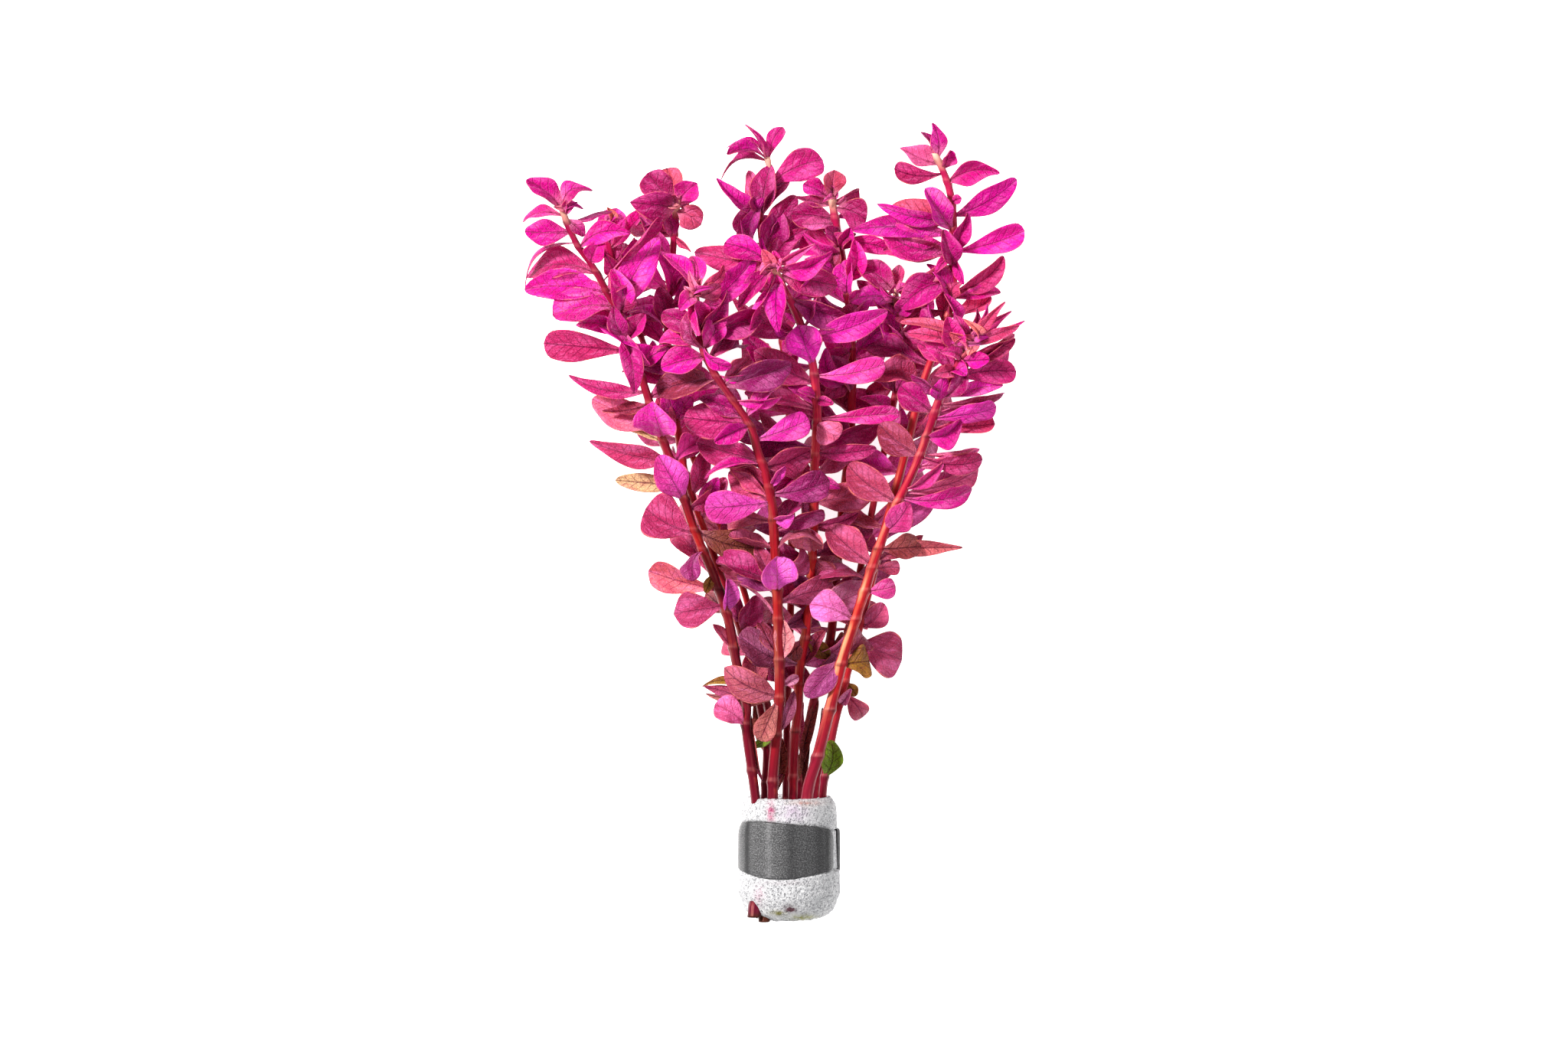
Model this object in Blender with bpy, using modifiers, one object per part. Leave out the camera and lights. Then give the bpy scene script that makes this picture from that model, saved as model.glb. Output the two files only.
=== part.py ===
"""A bunch of red rotala stems, held at the cut ends by white foam and a strip of soft lead.

The bunch lies on its back. X runs across it, Y from the cut ends to the tips, Z up from the surface.
Places are in millimetres as seen from straight above the lying bunch, X from the middle of the foam
and Y from its lower end. The finished bunch is moved so that its footprint is centred on the origin.
"""
import math
import random

import bmesh
import bpy
from mathutils import Matrix, Vector
from mathutils.bvhtree import BVHTree

MM = 0.001

# The eye looks straight down from this height, and higher places are drawn in towards the middle.
EYE_HEIGHT = 1100.0
EYE_LEVEL = 20.0
MIDDLE_X = -1.3
MIDDLE_Y = 111.4

# The foam wrap: its axis, its turned outline (height, radius) and the step where its end laps over.
FOAM_AXIS_Z = 14.67
FOAM_OUTLINE = ((0.0, 9.6), (1.6, 12.8), (5.6, 14.8), (10.6, 14.6), (11.8, 13.1), (28.1, 13.0),
                (29.0, 14.1), (32.6, 13.5), (34.2, 10.8))
FOAM_SIDES = 18
FOAM_LAP = 0.7
FOAM_LAP_ANGLE = 205.0
HOLE_CLEARANCE = 0.35

# A stem's solid bends only at the knots that keep it this close to its line.
STEM_STRAY = 0.5

# Where the foam is torn back from the cut ends: middle, size and turn about Z.
FOAM_TEARS = (((-8.7, 0.3, 26.2), (6.4, 7.2, 8.0), -16.0), ((-0.3, 0.0, 27.0), (3.2, 6.2, 7.4), 8.0))

# The lead strip: inner radius, thickness, the angles where it starts and ends, and its two edges.
LEAD_RADIUS = 13.5
LEAD_THICK = 0.8
LEAD_START = 34.0
LEAD_END = 366.0
LEAD_FLARE = 1.1
LEAD_STEPS = 22
LEAD_TOP = ((34.0, 25.4), (90.0, 27.1), (140.0, 27.8), (180.0, 26.4), (270.0, 25.8), (366.0, 24.7))
LEAD_BOTTOM = ((34.0, 13.7), (90.0, 12.1), (140.0, 13.3), (180.0, 14.0), (270.0, 13.5), (366.0, 12.9))

# Leaf blades: thickness at the midrib, how far the edges lift, and the gap kept to what is near.
BLADE_THICK = 0.8
BLADE_FOLD = 0.22
BLADE_GAP = 0.3
FOOT_GAP = 0.35

# Leaf outlines: half widths along the blade, as (distance, share of the full half width).
OUTLINES = {
    "round": ((0.0, 0.1), (0.15, 0.2), (0.35, 0.58), (0.6, 0.95), (0.75, 1.0), (0.9, 0.82), (1.0, 0.0)),
    "oval": ((0.0, 0.1), (0.12, 0.32), (0.3, 0.8), (0.5, 1.0), (0.7, 0.88), (0.88, 0.5), (1.0, 0.0)),
    "spear": ((0.0, 0.1), (0.12, 0.36), (0.28, 0.88), (0.42, 1.0), (0.62, 0.72), (0.82, 0.32), (1.0, 0.0)),
}
ROWS = {
    "round": ((0.0, 0.36, 0.72, 0.94), (0.0, 0.44, 0.86), (0.0, 0.66)),
    "oval": ((0.0, 0.28, 0.58, 0.86), (0.0, 0.36, 0.74), (0.0, 0.5)),
    "spear": ((0.0, 0.24, 0.5, 0.78), (0.0, 0.3, 0.66), (0.0, 0.4)),
}
# A piece of its own has a section with four corners, a leaf fused to its stem three: (side, top).
CORNERS = (((0, 1), (1, 0), (0, -1), (-1, 0)), ((1, 0), (0, -1), (-1, 0)))

# Leaf colours by the letter in the leaf tables: material name and base colour.
TINTS = {
    "m": ("magenta_leaf", (0.62, 0.008, 0.25)),
    "d": ("deep_crimson_leaf", (0.22, 0.004, 0.07)),
    "l": ("lilac_leaf", (0.72, 0.11, 0.52)),
    "p": ("pale_pink_leaf", (0.78, 0.22, 0.33)),
    "r": ("dusky_rose_leaf", (0.40, 0.05, 0.11)),
    "s": ("salmon_leaf", (0.70, 0.14, 0.14)),
    "u": ("mauve_leaf", (0.26, 0.05, 0.19)),
    "b": ("brown_red_leaf", (0.27, 0.03, 0.03)),
    "g": ("green_leaf", (0.13, 0.27, 0.01)),
    "y": ("straw_leaf", (0.74, 0.58, 0.34)),
    "o": ("olive_leaf", (0.40, 0.15, 0.03)),
}

# Each stem: its line as (x, y, z), its thickness at the foot and at the tip, how many of its leaves
# are pieces of their own, and its leaves as (height on the stem, tip x, tip y, rise of the tip, width,
# turn, arch upwards, arch to the left, outline, colour).
STEMS = {
    "right_front": {
        "line": ((4.2, 1.6, 21.5), (4.6, 20.0, 22.4), (5.4, 36.0, 23.0), (8.2, 45.8, 24.5),
                 (11.2, 57.6, 26.5), (13.8, 67.5, 28.5), (15.1, 72.9, 29.5), (20.0, 88.0, 33.0),
                 (25.2, 103.9, 37.0), (30.5, 117.0, 41.0), (34.0, 123.7, 43.0), (37.5, 132.0, 45.5),
                 (40.3, 140.0, 48.0), (42.3, 146.0, 50.0), (45.4, 152.0, 52.5), (49.0, 158.0, 55.0),
                 (52.8, 163.6, 57.0)),
        "thick": (3.6, 2.0), "own": 7,
        "leaves": (
            (84.0, 6.2, 88.6, 2, 9.4, 0, 1.5, -0.5, "round", "l"),
            (72.5, 4.3, 62.3, -3, 8.0, 5, 1.0, 0.8, "oval", "u"),
            (71.5, 22.8, 72.5, -3, 9.6, 0, 1.0, 0.0, "round", "o"),
            (92.0, 30.2, 93.6, 0, 6.0, 5, 1.0, 0.0, "round", "m"),
            (98.5, 31.2, 98.6, -3, 4.4, 10, 0.5, 0.0, "round", "r"),
            (104.0, 37.2, 105.0, 1, 7.4, 0, 1.0, -0.5, "round", "b"),
            (104.0, 49.5, 104.4, -5, 5.4, 10, 0.5, 0.5, "spear", "s"),
            (109.0, 34.2, 117.2, 5, 8.0, -10, 1.2, -1.0, "oval", "m"),
            (99.5, 10.8, 110.6, -4, 9.6, 0, 1.0, 0.5, "oval", "r"),
            (118.5, 51.6, 120.3, 2, 6.0, 10, 1.2, -0.8, "round", "m"),
            (119.8, 53.8, 126.0, -2, 6.4, 15, 1.0, -0.8, "round", "p"),
            (121.0, 43.6, 129.2, 5, 4.0, 35, 1.0, 0.0, "oval", "m"),
            (117.0, 16.2, 128.0, -5, 9.8, 0, 1.0, 0.8, "oval", "r"),
            (130.0, 55.0, 129.3, 3, 6.4, 15, 1.2, -0.8, "round", "r"),
            (130.5, 52.5, 132.2, -3, 4.0, 20, 0.5, 0.0, "round", "p"),
            (130.0, 25.0, 139.5, -5, 9.0, 0, 1.0, 0.5, "oval", "b"),
            (135.5, 48.6, 139.6, 5, 6.2, 0, 1.2, -0.6, "oval", "m"),
            (137.5, 57.3, 138.5, -3, 5.0, 10, 0.5, 0.5, "round", "s"),
            (140.5, 58.4, 143.0, 2, 5.6, 10, 1.0, -0.4, "round", "l"),
            (144.5, 60.8, 147.0, 0, 4.0, 40, 0.5, 0.3, "oval", "b"),
            (146.5, 60.8, 150.0, 3, 4.6, 20, 0.5, -0.4, "oval", "l"),
            (145.5, 44.2, 151.6, 6, 5.4, 0, 1.0, 0.8, "oval", "m"),
            (142.0, 31.0, 150.0, -4, 8.0, 0, 1.0, 0.0, "oval", "d"),
            (152.0, 64.0, 154.0, 1, 6.4, 10, 1.5, 1.2, "round", "r"),
            (156.0, 62.3, 161.2, -1, 6.0, 20, 1.0, -1.0, "round", "d"),
            (157.0, 57.2, 157.0, 6, 4.4, 10, 0.8, 0.0, "oval", "m"),
            (154.0, 50.5, 151.8, 5, 4.6, 0, 0.8, 0.0, "oval", "m"),
            (154.0, 42.2, 153.5, 5, 4.4, 0, 0.8, 0.0, "oval", "r"),
            (157.5, 43.8, 159.5, 5, 4.2, 0, 0.8, 0.0, "oval", "m"),
            (161.0, 48.0, 163.5, 4, 4.2, 0, 0.6, 0.0, "oval", "s"),
            (160.0, 33.0, 164.4, -1, 4.4, 30, 1.0, -0.6, "oval", "s"),
            (162.0, 30.8, 167.8, -3, 4.6, 30, 1.0, -0.6, "oval", "s"),
            (156.0, 36.0, 162.6, -4, 6.0, 0, 0.8, 0.0, "oval", "r"),
            (162.5, 56.9, 172.3, 2, 3.4, 30, 0.5, 0.8, "spear", "m"),
            (162.5, 60.8, 173.6, -3, 3.4, 20, 0.5, 0.0, "spear", "s"),
            (162.0, 63.2, 171.0, -4, 3.2, 0, 0.5, 0.0, "spear", "r"),
            (161.5, 64.5, 166.0, 0, 3.2, 20, 0.5, 0.6, "oval", "s"),
            (163.0, 51.0, 166.2, 1, 3.0, 0, 0.5, 0.0, "oval", "r"),
        ),
    },
    "left_front": {
        "line": ((-9.7, 0.5, 23.6), (-8.8, 12.0, 21.2), (-8.8, 28.0, 21.0), (-9.6, 36.2, 22.4),
                 (-12.0, 54.0, 24.5), (-11.9, 60.0, 25.0), (-14.8, 72.5, 27.0), (-16.8, 83.4, 29.0),
                 (-20.9, 96.1, 31.5), (-26.7, 109.9, 34.5), (-29.6, 119.0, 36.5), (-31.2, 125.5, 38.0),
                 (-34.0, 131.0, 39.5), (-38.7, 144.0, 42.0), (-41.3, 152.0, 44.0), (-44.3, 160.0, 45.5),
                 (-47.8, 170.0, 47.0), (-51.0, 176.0, 48.0), (-54.8, 183.0, 49.0), (-58.5, 188.0, 50.0),
                 (-61.2, 193.0, 50.5), (-63.8, 199.8, 51.0)),
        "thick": (2.6, 1.5), "own": 8,
        "leaves": (
            (159.5, -69.0, 161.0, -2, 9.3, 0, 0.5, 0.0, "round", "r"),
            (170.5, -36.5, 191.5, 4, 9.8, -10, 1.5, 0.5, "oval", "l"),
            (108.5, -41.2, 115.5, 1, 12.6, 0, 1.2, 1.0, "round", "r"),
            (118.0, -36.8, 130.6, 5, 9.2, 15, 1.5, 1.0, "oval", "l"),
            (181.5, -74.0, 181.0, -2, 8.2, 15, 1.0, -3.5, "oval", "d"),
            (176.0, -74.5, 177.5, 2, 8.0, 10, 1.0, -1.5, "oval", "l"),
            (172.0, -66.0, 170.0, 5, 9.6, 15, 1.5, -1.0, "round", "l"),
            (193.0, -74.4, 192.0, 0, 6.8, 5, 1.0, 0.0, "oval", "m"),
            (199.5, -72.6, 208.4, 2, 5.6, 15, 0.5, -0.8, "oval", "m"),
            (199.5, -55.6, 204.3, 2, 5.8, -15, 1.0, 1.5, "spear", "m"),
            (197.5, -74.6, 194.8, -3, 4.6, 20, 1.5, -2.2, "oval", "m"),
            (188.5, -45.2, 193.4, 5, 6.4, -10, 1.5, 0.8, "oval", "m"),
            (179.0, -36.0, 198.5, 9, 4.5, 70, 1.5, 0.8, "round", "d"),
            (152.5, -51.8, 167.5, 6, 7.0, 35, 1.0, -0.5, "round", "m"),
            (148.0, -62.5, 153.0, 1, 5.6, 30, 0.5, 0.5, "spear", "r"),
            (138.0, -55.4, 146.5, -4, 9.0, 10, 0.5, 1.0, "oval", "p"),
            (144.5, -52.8, 142.8, 1, 4.6, 25, 0.5, 0.5, "spear", "b"),
            (135.5, -38.6, 143.4, 12, 11.5, 0, 1.0, 0.0, "round", "l"),
            (134.0, -47.8, 138.5, -3, 4.0, 40, 0.0, -0.5, "spear", "y"),
            (128.5, -56.6, 134.5, 2, 7.6, 0, 1.2, 0.8, "spear", "r"),
            (121.5, -49.0, 123.2, -3, 5.6, 5, 0.5, 0.0, "oval", "y"),
            (109.0, -6.0, 104.5, -8, 8.6, 10, 1.0, -1.5, "oval", "b"),
            (103.5, -26.5, 94.5, 7, 6.5, 20, 1.0, -1.0, "round", "l"),
            (92.5, -39.4, 97.2, -2, 7.6, 5, 0.5, 0.0, "round", "s"),
            (88.0, -32.4, 87.2, 3, 10.0, 0, 1.0, 0.0, "round", "r"),
            (97.0, -23.4, 91.5, 1, 3.0, 0, 0.0, 0.0, "oval", "o"),
            (86.0, -16.5, 95.5, 6, 5.0, 10, 0.5, 0.0, "oval", "l"),
            (76.0, -20.6, 83.0, 2, 3.6, 20, 0.0, 0.0, "oval", "r"),
            (66.0, -24.6, 65.3, -2, 3.2, 40, 0.5, -1.0, "spear", "o"),
            (54.5, -20.8, 60.5, 4, 8.2, 10, 1.0, 0.0, "round", "p"),
            (190.0, -75.0, 178.2, -6, 4.4, 70, 1.0, -2.6, "spear", "d"),
            (196.5, -57.4, 191.6, -1, 4.0, -20, 0.3, 0.0, "oval", "d"),
            (195.5, -50.2, 200.6, -5, 4.0, 70, 0.8, -0.8, "oval", "m"),
            (198.0, -60.8, 200.5, 4, 2.4, 0, 0.0, 0.0, "oval", "m"),
            (170.0, -71.5, 175.0, -6, 5.0, 50, 0.0, 0.0, "spear", "p"),
        ),
    },
    "centre_left": {
        "line": ((-0.4, 1.8, 24.6), (-3.2, 15.0, 23.0), (-4.5, 36.0, 22.5), (-3.7, 49.0, 24.0),
                 (-2.6, 62.4, 26.0), (-2.6, 71.0, 27.5), (-3.2, 91.4, 32.0), (-4.1, 108.6, 36.0),
                 (-4.5, 115.3, 38.0), (-6.5, 125.2, 41.0), (-8.8, 131.8, 43.0), (-10.8, 138.5, 45.0),
                 (-16.3, 146.7, 47.5), (-20.6, 152.9, 49.5), (-24.0, 160.0, 51.0), (-25.2, 167.0, 52.5),
                 (-26.0, 173.0, 54.0), (-26.4, 177.5, 57.0)),
        "thick": (3.0, 1.6), "own": 6,
        "leaves": (
            (92.5, -3.3, 101.8, 11, 10.0, 0, 1.0, 0.0, "round", "l"),
            (117.0, -24.3, 115.5, 4, 9.5, 0, 1.5, 0.0, "round", "l"),
            (62.5, -18.3, 70.0, 2, 9.5, 5, 1.5, 1.5, "oval", "r"),
            (62.0, -8.2, 49.8, 3, 6.4, 0, 0.5, 0.0, "round", "r"),
            (139.0, -30.0, 141.0, -4, 11.0, 0, 1.0, 0.0, "oval", "r"),
            (158.0, -36.2, 154.8, 1, 8.5, 5, 1.0, 0.5, "oval", "m"),
            (161.0, -36.6, 163.2, -1, 8.0, 10, 1.0, -0.5, "oval", "m"),
            (152.0, -37.2, 148.2, -6, 9.0, 10, 1.0, 0.0, "oval", "b"),
            (92.5, -14.5, 97.5, -3, 8.0, 0, 1.0, 0.0, "oval", "u"),
            (84.0, -17.6, 95.5, 3, 4.0, 55, 0.8, 0.0, "oval", "p"),
            (72.5, -1.8, 84.6, 3, 6.0, 0, 1.0, -0.6, "oval", "s"),
            (177.0, -35.7, 186.6, -2, 5.6, 20, 1.0, -0.8, "oval", "m"),
            (176.5, -27.9, 187.0, -4, 5.2, 0, 0.8, -1.5, "oval", "m"),
            (176.0, -17.2, 183.2, -3, 4.0, 30, 0.5, 0.0, "oval", "s"),
            (175.0, -19.0, 178.0, -2, 4.5, 10, 0.5, 0.0, "oval", "r"),
            (175.0, -31.0, 170.5, 3, 5.0, 0, 1.0, 0.0, "oval", "m"),
            (175.5, -24.0, 163.5, 4, 3.6, 45, 0.5, 0.0, "round", "m"),
            (172.0, -16.8, 170.0, 1, 5.5, 10, 0.5, 0.8, "oval", "l"),
            (161.5, -15.6, 155.0, 3, 3.6, 40, 1.0, -0.5, "round", "m"),
            (153.0, -10.6, 152.8, 0, 3.4, 50, 0.5, -0.8, "round", "m"),
            (145.5, -1.5, 146.3, 0, 4.0, 60, 1.0, 0.8, "oval", "m"),
            (138.5, -21.5, 134.0, 3, 5.5, 0, 0.5, 0.0, "oval", "m"),
            (128.5, -26.0, 134.0, -6, 9.0, 0, 1.0, 0.0, "oval", "r"),
            (128.0, -24.0, 125.5, 1, 3.5, 50, 0.5, 0.0, "oval", "m"),
            (116.5, -17.5, 125.5, -3, 8.0, 0, 1.0, 0.0, "oval", "r"),
            (112.0, 1.5, 113.6, 5, 4.5, 20, 1.0, 0.5, "oval", "l"),
            (121.0, -1.0, 127.6, 4, 3.2, 20, 0.5, 0.0, "oval", "l"),
            (62.3, -24.4, 62.2, -2, 5.0, 20, 0.5, -0.5, "spear", "r"),
            (52.0, 1.8, 64.0, 0, 3.8, 10, 0.5, 0.0, "oval", "u"),
            (65.5, 2.8, 68.2, -4, 3.0, 0, 0.3, 0.0, "oval", "l"),
            (51.5, -9.8, 48.3, -5, 3.0, 0, 0.0, 0.0, "oval", "g"),
        ),
    },
    "centre": {
        "line": ((1.0, 1.6, 17.5), (1.2, 36.0, 17.0), (1.7, 50.0, 18.0), (2.6, 59.0, 19.0),
                 (3.2, 71.0, 20.5), (4.9, 80.6, 22.0), (5.8, 92.0, 24.0), (6.5, 100.2, 25.5),
                 (7.1, 112.0, 27.5), (7.3, 126.9, 30.5), (7.7, 135.1, 32.0), (8.0, 143.2, 33.5),
                 (7.2, 153.0, 35.5), (5.5, 161.0, 37.0), (3.0, 168.0, 38.5), (0.3, 174.0, 40.5),
                 (-2.3, 179.0, 43.5), (-4.3, 183.6, 47.0)),
        "thick": (2.6, 1.9), "own": 6,
        "leaves": (
            (156.0, 2.8, 165.8, 9, 10.5, 0, 1.5, 0.0, "round", "l"),
            (163.0, 28.4, 171.3, 2, 7.6, 10, 1.2, -1.0, "oval", "l"),
            (152.5, 27.8, 156.0, 3, 7.0, 10, 1.2, -0.8, "round", "l"),
            (183.0, -27.0, 187.5, -4, 7.6, 5, 1.2, 0.6, "oval", "r"),
            (140.5, 31.8, 142.2, 2, 5.2, 10, 1.0, -0.6, "round", "m"),
            (180.5, 14.2, 177.5, -3, 9.0, 5, 1.0, 0.5, "oval", "d"),
            (103.0, 4.6, 110.2, 8, 9.5, 0, 1.0, 0.0, "round", "p"),
            (150.5, -10.0, 160.0, -3, 9.0, 0, 1.0, 0.8, "oval", "r"),
            (183.5, -18.5, 189.8, 1, 7.0, 5, 1.0, -0.8, "round", "m"),
            (182.5, 12.8, 188.0, 2, 6.6, 15, 1.5, -1.0, "spear", "m"),
            (183.5, 8.0, 190.2, 5, 3.2, 50, 1.0, 0.5, "spear", "p"),
            (183.0, -14.2, 172.5, 3, 5.6, 25, 1.0, 0.8, "oval", "d"),
            (181.5, -12.7, 163.4, 8, 4.2, 35, 1.5, 1.5, "round", "m"),
            (179.5, -3.5, 165.5, 9, 7.0, 0, 1.5, 0.0, "oval", "m"),
            (174.0, 18.0, 168.8, -2, 7.5, 10, 1.0, -0.5, "oval", "u"),
            (146.5, 2.6, 148.8, 4, 3.2, 20, 0.5, 0.0, "oval", "m"),
            (145.8, 13.2, 144.4, 3, 3.0, 10, 0.5, 0.0, "oval", "m"),
            (139.5, 14.8, 134.5, 4, 8.0, 0, 1.0, 0.0, "round", "p"),
            (131.0, 25.2, 132.5, 3, 5.4, 15, 1.0, -0.4, "oval", "r"),
            (130.0, -3.6, 118.2, 5, 3.6, 50, 1.0, 0.0, "oval", "m"),
            (121.5, 14.4, 120.8, 4, 4.0, 10, 1.5, 1.5, "oval", "m"),
            (104.0, 4.6, 121.0, 3, 4.5, 20, 1.0, 1.0, "oval", "u"),
            (111.0, 19.8, 114.6, 0, 4.2, 20, 0.8, -0.4, "oval", "r"),
            (101.0, 12.5, 94.6, -2, 6.0, 0, 1.0, 0.0, "oval", "b"),
            (78.5, -1.6, 72.5, -3, 6.0, 0, 1.0, 0.0, "oval", "b"),
            (78.5, 11.8, 73.5, -3, 5.0, 0, 1.0, 0.0, "oval", "o"),
        ),
    },
    "right_tall": {
        "line": ((8.8, 1.6, 16.0), (9.7, 36.0, 16.2), (12.3, 51.6, 17.5), (14.2, 60.0, 18.5),
                 (19.1, 79.0, 20.5), (26.5, 107.5, 24.0), (32.3, 129.0, 27.0), (37.8, 150.5, 30.0),
                 (45.6, 173.0, 33.0), (46.3, 185.0, 34.0), (46.3, 193.0, 34.5), (46.0, 200.0, 35.0),
                 (44.9, 206.0, 35.0), (43.0, 211.0, 35.5), (41.0, 215.0, 36.0)),
        "thick": (2.0, 1.5), "own": 7,
        "leaves": (
            (77.5, 32.6, 74.5, 0, 13.0, 0, 1.5, 0.0, "round", "r"),
            (188.5, 25.2, 196.8, 2, 8.6, 15, 1.0, 2.6, "oval", "m"),
            (195.5, 27.5, 196.6, -3, 8.4, 5, 1.0, 0.5, "oval", "s"),
            (179.0, 31.3, 171.5, -1, 9.4, 10, 1.5, -1.2, "oval", "d"),
            (187.5, 66.3, 192.5, 1, 6.6, 5, 1.2, -1.0, "round", "l"),
            (197.5, 64.4, 207.6, 2, 6.8, 5, 1.2, -1.6, "oval", "m"),
            (193.5, 38.6, 205.8, 5, 6.8, -5, 1.2, 1.0, "oval", "l"),
            (207.0, 59.6, 208.9, 1, 6.0, 5, 1.0, 1.6, "spear", "m"),
            (176.0, 60.8, 186.5, 1, 6.6, 15, 1.0, -1.8, "oval", "r"),
            (39.9, 11.9, 50.8, 3, 6.4, 0, 0.8, -1.2, "oval", "g"),
            (209.5, 29.3, 210.4, 0, 5.2, 15, 1.0, 1.5, "round", "r"),
            (213.5, 40.3, 223.9, 0, 5.2, 0, 0.5, -0.6, "spear", "m"),
            (213.0, 37.6, 221.3, -2, 4.0, 15, 0.5, 0.5, "oval", "d"),
            (210.5, 44.9, 216.5, 2, 4.0, 0, 0.5, 0.0, "oval", "m"),
            (212.0, 31.2, 217.2, -2, 5.0, 20, 1.0, 1.5, "spear", "p"),
            (201.0, 49.4, 202.6, 4, 3.0, 0, 0.3, 0.0, "round", "m"),
            (186.5, 50.4, 178.3, 3, 3.6, 35, 1.0, 0.8, "oval", "m"),
            (174.5, 60.0, 176.5, -3, 4.0, 10, 0.5, 0.0, "oval", "m"),
            (169.0, 57.2, 173.5, -2, 7.0, 0, 1.0, 0.0, "round", "s"),
            (183.5, 36.6, 179.0, 0, 4.0, 0, 0.5, 0.0, "oval", "p"),
            (187.5, 41.0, 181.0, 3, 2.8, 30, 0.5, 0.0, "oval", "m"),
            (82.0, 26.9, 88.6, -2, 7.0, 0, 1.0, -0.8, "oval", "r"),
            (63.5, 20.8, 56.2, -1, 6.0, 0, 0.5, 0.5, "round", "r"),
            (60.5, 17.0, 64.4, 6, 3.0, 0, 0.3, 0.0, "oval", "l"),
            (66.5, 19.0, 63.0, -2, 3.6, 0, 0.3, 0.0, "oval", "o"),
        ),
    },
    "left_back": {
        "line": ((-6.9, -0.8, 22.3), (-6.6, 12.0, 18.6), (-6.8, 36.0, 19.2), (-6.3, 48.0, 19.5),
                 (-8.5, 62.0, 20.0), (-11.8, 76.0, 20.5), (-17.5, 92.0, 22.5), (-22.0, 105.0, 24.0),
                 (-25.8, 115.0, 25.5), (-29.3, 126.0, 27.0), (-30.8, 135.0, 28.0), (-32.0, 143.0, 29.0),
                 (-33.6, 155.0, 30.5), (-34.0, 168.0, 32.0), (-33.2, 180.0, 34.0), (-32.3, 190.0, 36.0),
                 (-31.6, 198.0, 39.5), (-31.5, 202.0, 43.0)),
        "thick": (1.8, 1.4), "own": 4,
        "leaves": (
            (200.5, -39.6, 210.0, 4, 8.2, 0, 1.0, 0.0, "round", "m"),
            (198.5, -34.5, 211.4, -3, 8.0, 0, 0.5, 0.0, "round", "s"),
            (200.0, -42.4, 201.5, 5, 8.0, 20, 1.0, -1.0, "oval", "d"),
            (200.5, -26.6, 207.0, 4, 7.0, 0, 1.0, 0.0, "round", "m"),
            (199.0, -25.8, 194.8, 3, 5.5, 0, 1.0, 0.0, "round", "s"),
            (196.0, -41.0, 194.8, -2, 5.0, 20, 0.5, 0.0, "oval", "d"),
            (64.0, -9.5, 77.0, 1, 8.0, 0, 1.0, 0.0, "oval", "r"),
            (80.0, -8.5, 91.0, 1, 7.0, 0, 1.0, 0.0, "oval", "d"),
            (119.0, -23.2, 132.5, 2, 5.5, 10, 0.5, 0.0, "oval", "r"),
            (116.0, -19.5, 124.5, 3, 5.0, 10, 0.5, 0.0, "oval", "m"),
            (129.0, -24.3, 138.0, 3, 4.0, 20, 0.5, 0.0, "oval", "d"),
            (131.5, -26.6, 139.4, -3, 4.4, 0, 0.5, 0.0, "oval", "p"),
            (192.0, -26.5, 187.8, 2, 2.4, 50, 0.5, -0.5, "spear", "s"),
            (184.0, -28.4, 180.0, 1, 3.0, 40, 0.5, 0.0, "spear", "b"),
            (168.0, -45.0, 173.0, -3, 8.0, 10, 1.0, 0.0, "oval", "d"),
            (167.0, -36.6, 178.0, 3, 6.0, 20, 1.0, 0.5, "oval", "u"),
            (200.5, -30.0, 203.5, 6, 3.2, 0, 0.3, 0.0, "oval", "s"),
            (150.0, -25.0, 158.0, -2, 8.0, 0, 1.0, 0.0, "oval", "d"),
        ),
    },
    "top_back": {
        "line": ((-0.6, 1.2, 10.0), (-0.8, 36.0, 10.5), (-0.3, 60.0, 10.5), (0.8, 100.0, 10.5),
                 (0.2, 140.0, 11.5), (-2.2, 165.0, 13.0), (-6.0, 182.0, 15.5), (-8.0, 194.0, 17.0),
                 (-7.0, 203.0, 18.0), (-5.4, 209.0, 19.0), (-6.0, 214.0, 20.0)),
        "thick": (2.0, 1.3), "own": 3,
        "leaves": (
            (206.0, 10.0, 212.6, 1, 8.0, 0, 1.2, 0.3, "round", "m"),
            (197.5, -5.5, 212.0, 4, 8.0, 0, 1.0, 0.0, "oval", "r"),
            (188.0, -2.5, 199.0, -1, 9.0, 0, 1.0, 0.0, "oval", "d"),
            (197.0, -20.7, 208.2, -2, 5.6, 10, 0.5, 0.6, "spear", "m"),
            (206.0, -15.0, 192.8, 3, 5.0, 20, 1.0, 0.5, "round", "d"),
            (196.0, -10.6, 210.2, -3, 5.0, 0, 0.5, 0.0, "oval", "p"),
            (197.0, 0.4, 208.0, -2, 6.0, 0, 0.5, 0.0, "oval", "r"),
            (201.0, -11.0, 190.2, 4, 5.0, 0, 1.0, 0.0, "oval", "m"),
            (213.0, -11.8, 223.9, 3, 4.0, 45, 1.0, 1.2, "spear", "m"),
            (213.0, -1.8, 222.6, 1, 4.6, 0, 0.5, 0.0, "round", "r"),
            (213.0, -19.6, 209.3, -2, 5.0, 35, 1.0, -1.0, "spear", "d"),
            (213.3, -18.0, 214.2, 2, 4.4, 40, 0.5, 0.0, "round", "r"),
            (213.5, -16.2, 219.1, 2, 2.8, 50, 0.4, 0.0, "oval", "m"),
        ),
    },
    "centre_right": {
        "line": ((3.2, 1.6, 11.5), (3.1, 36.0, 12.0), (6.5, 59.0, 12.5), (11.6, 78.0, 14.0),
                 (13.5, 98.0, 15.5), (15.3, 117.0, 17.0), (17.4, 136.0, 19.0), (17.8, 150.0, 20.5),
                 (17.8, 161.0, 22.0), (17.0, 172.0, 23.0), (15.0, 186.0, 24.0), (13.0, 197.0, 25.0),
                 (12.0, 203.0, 26.0)),
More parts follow.
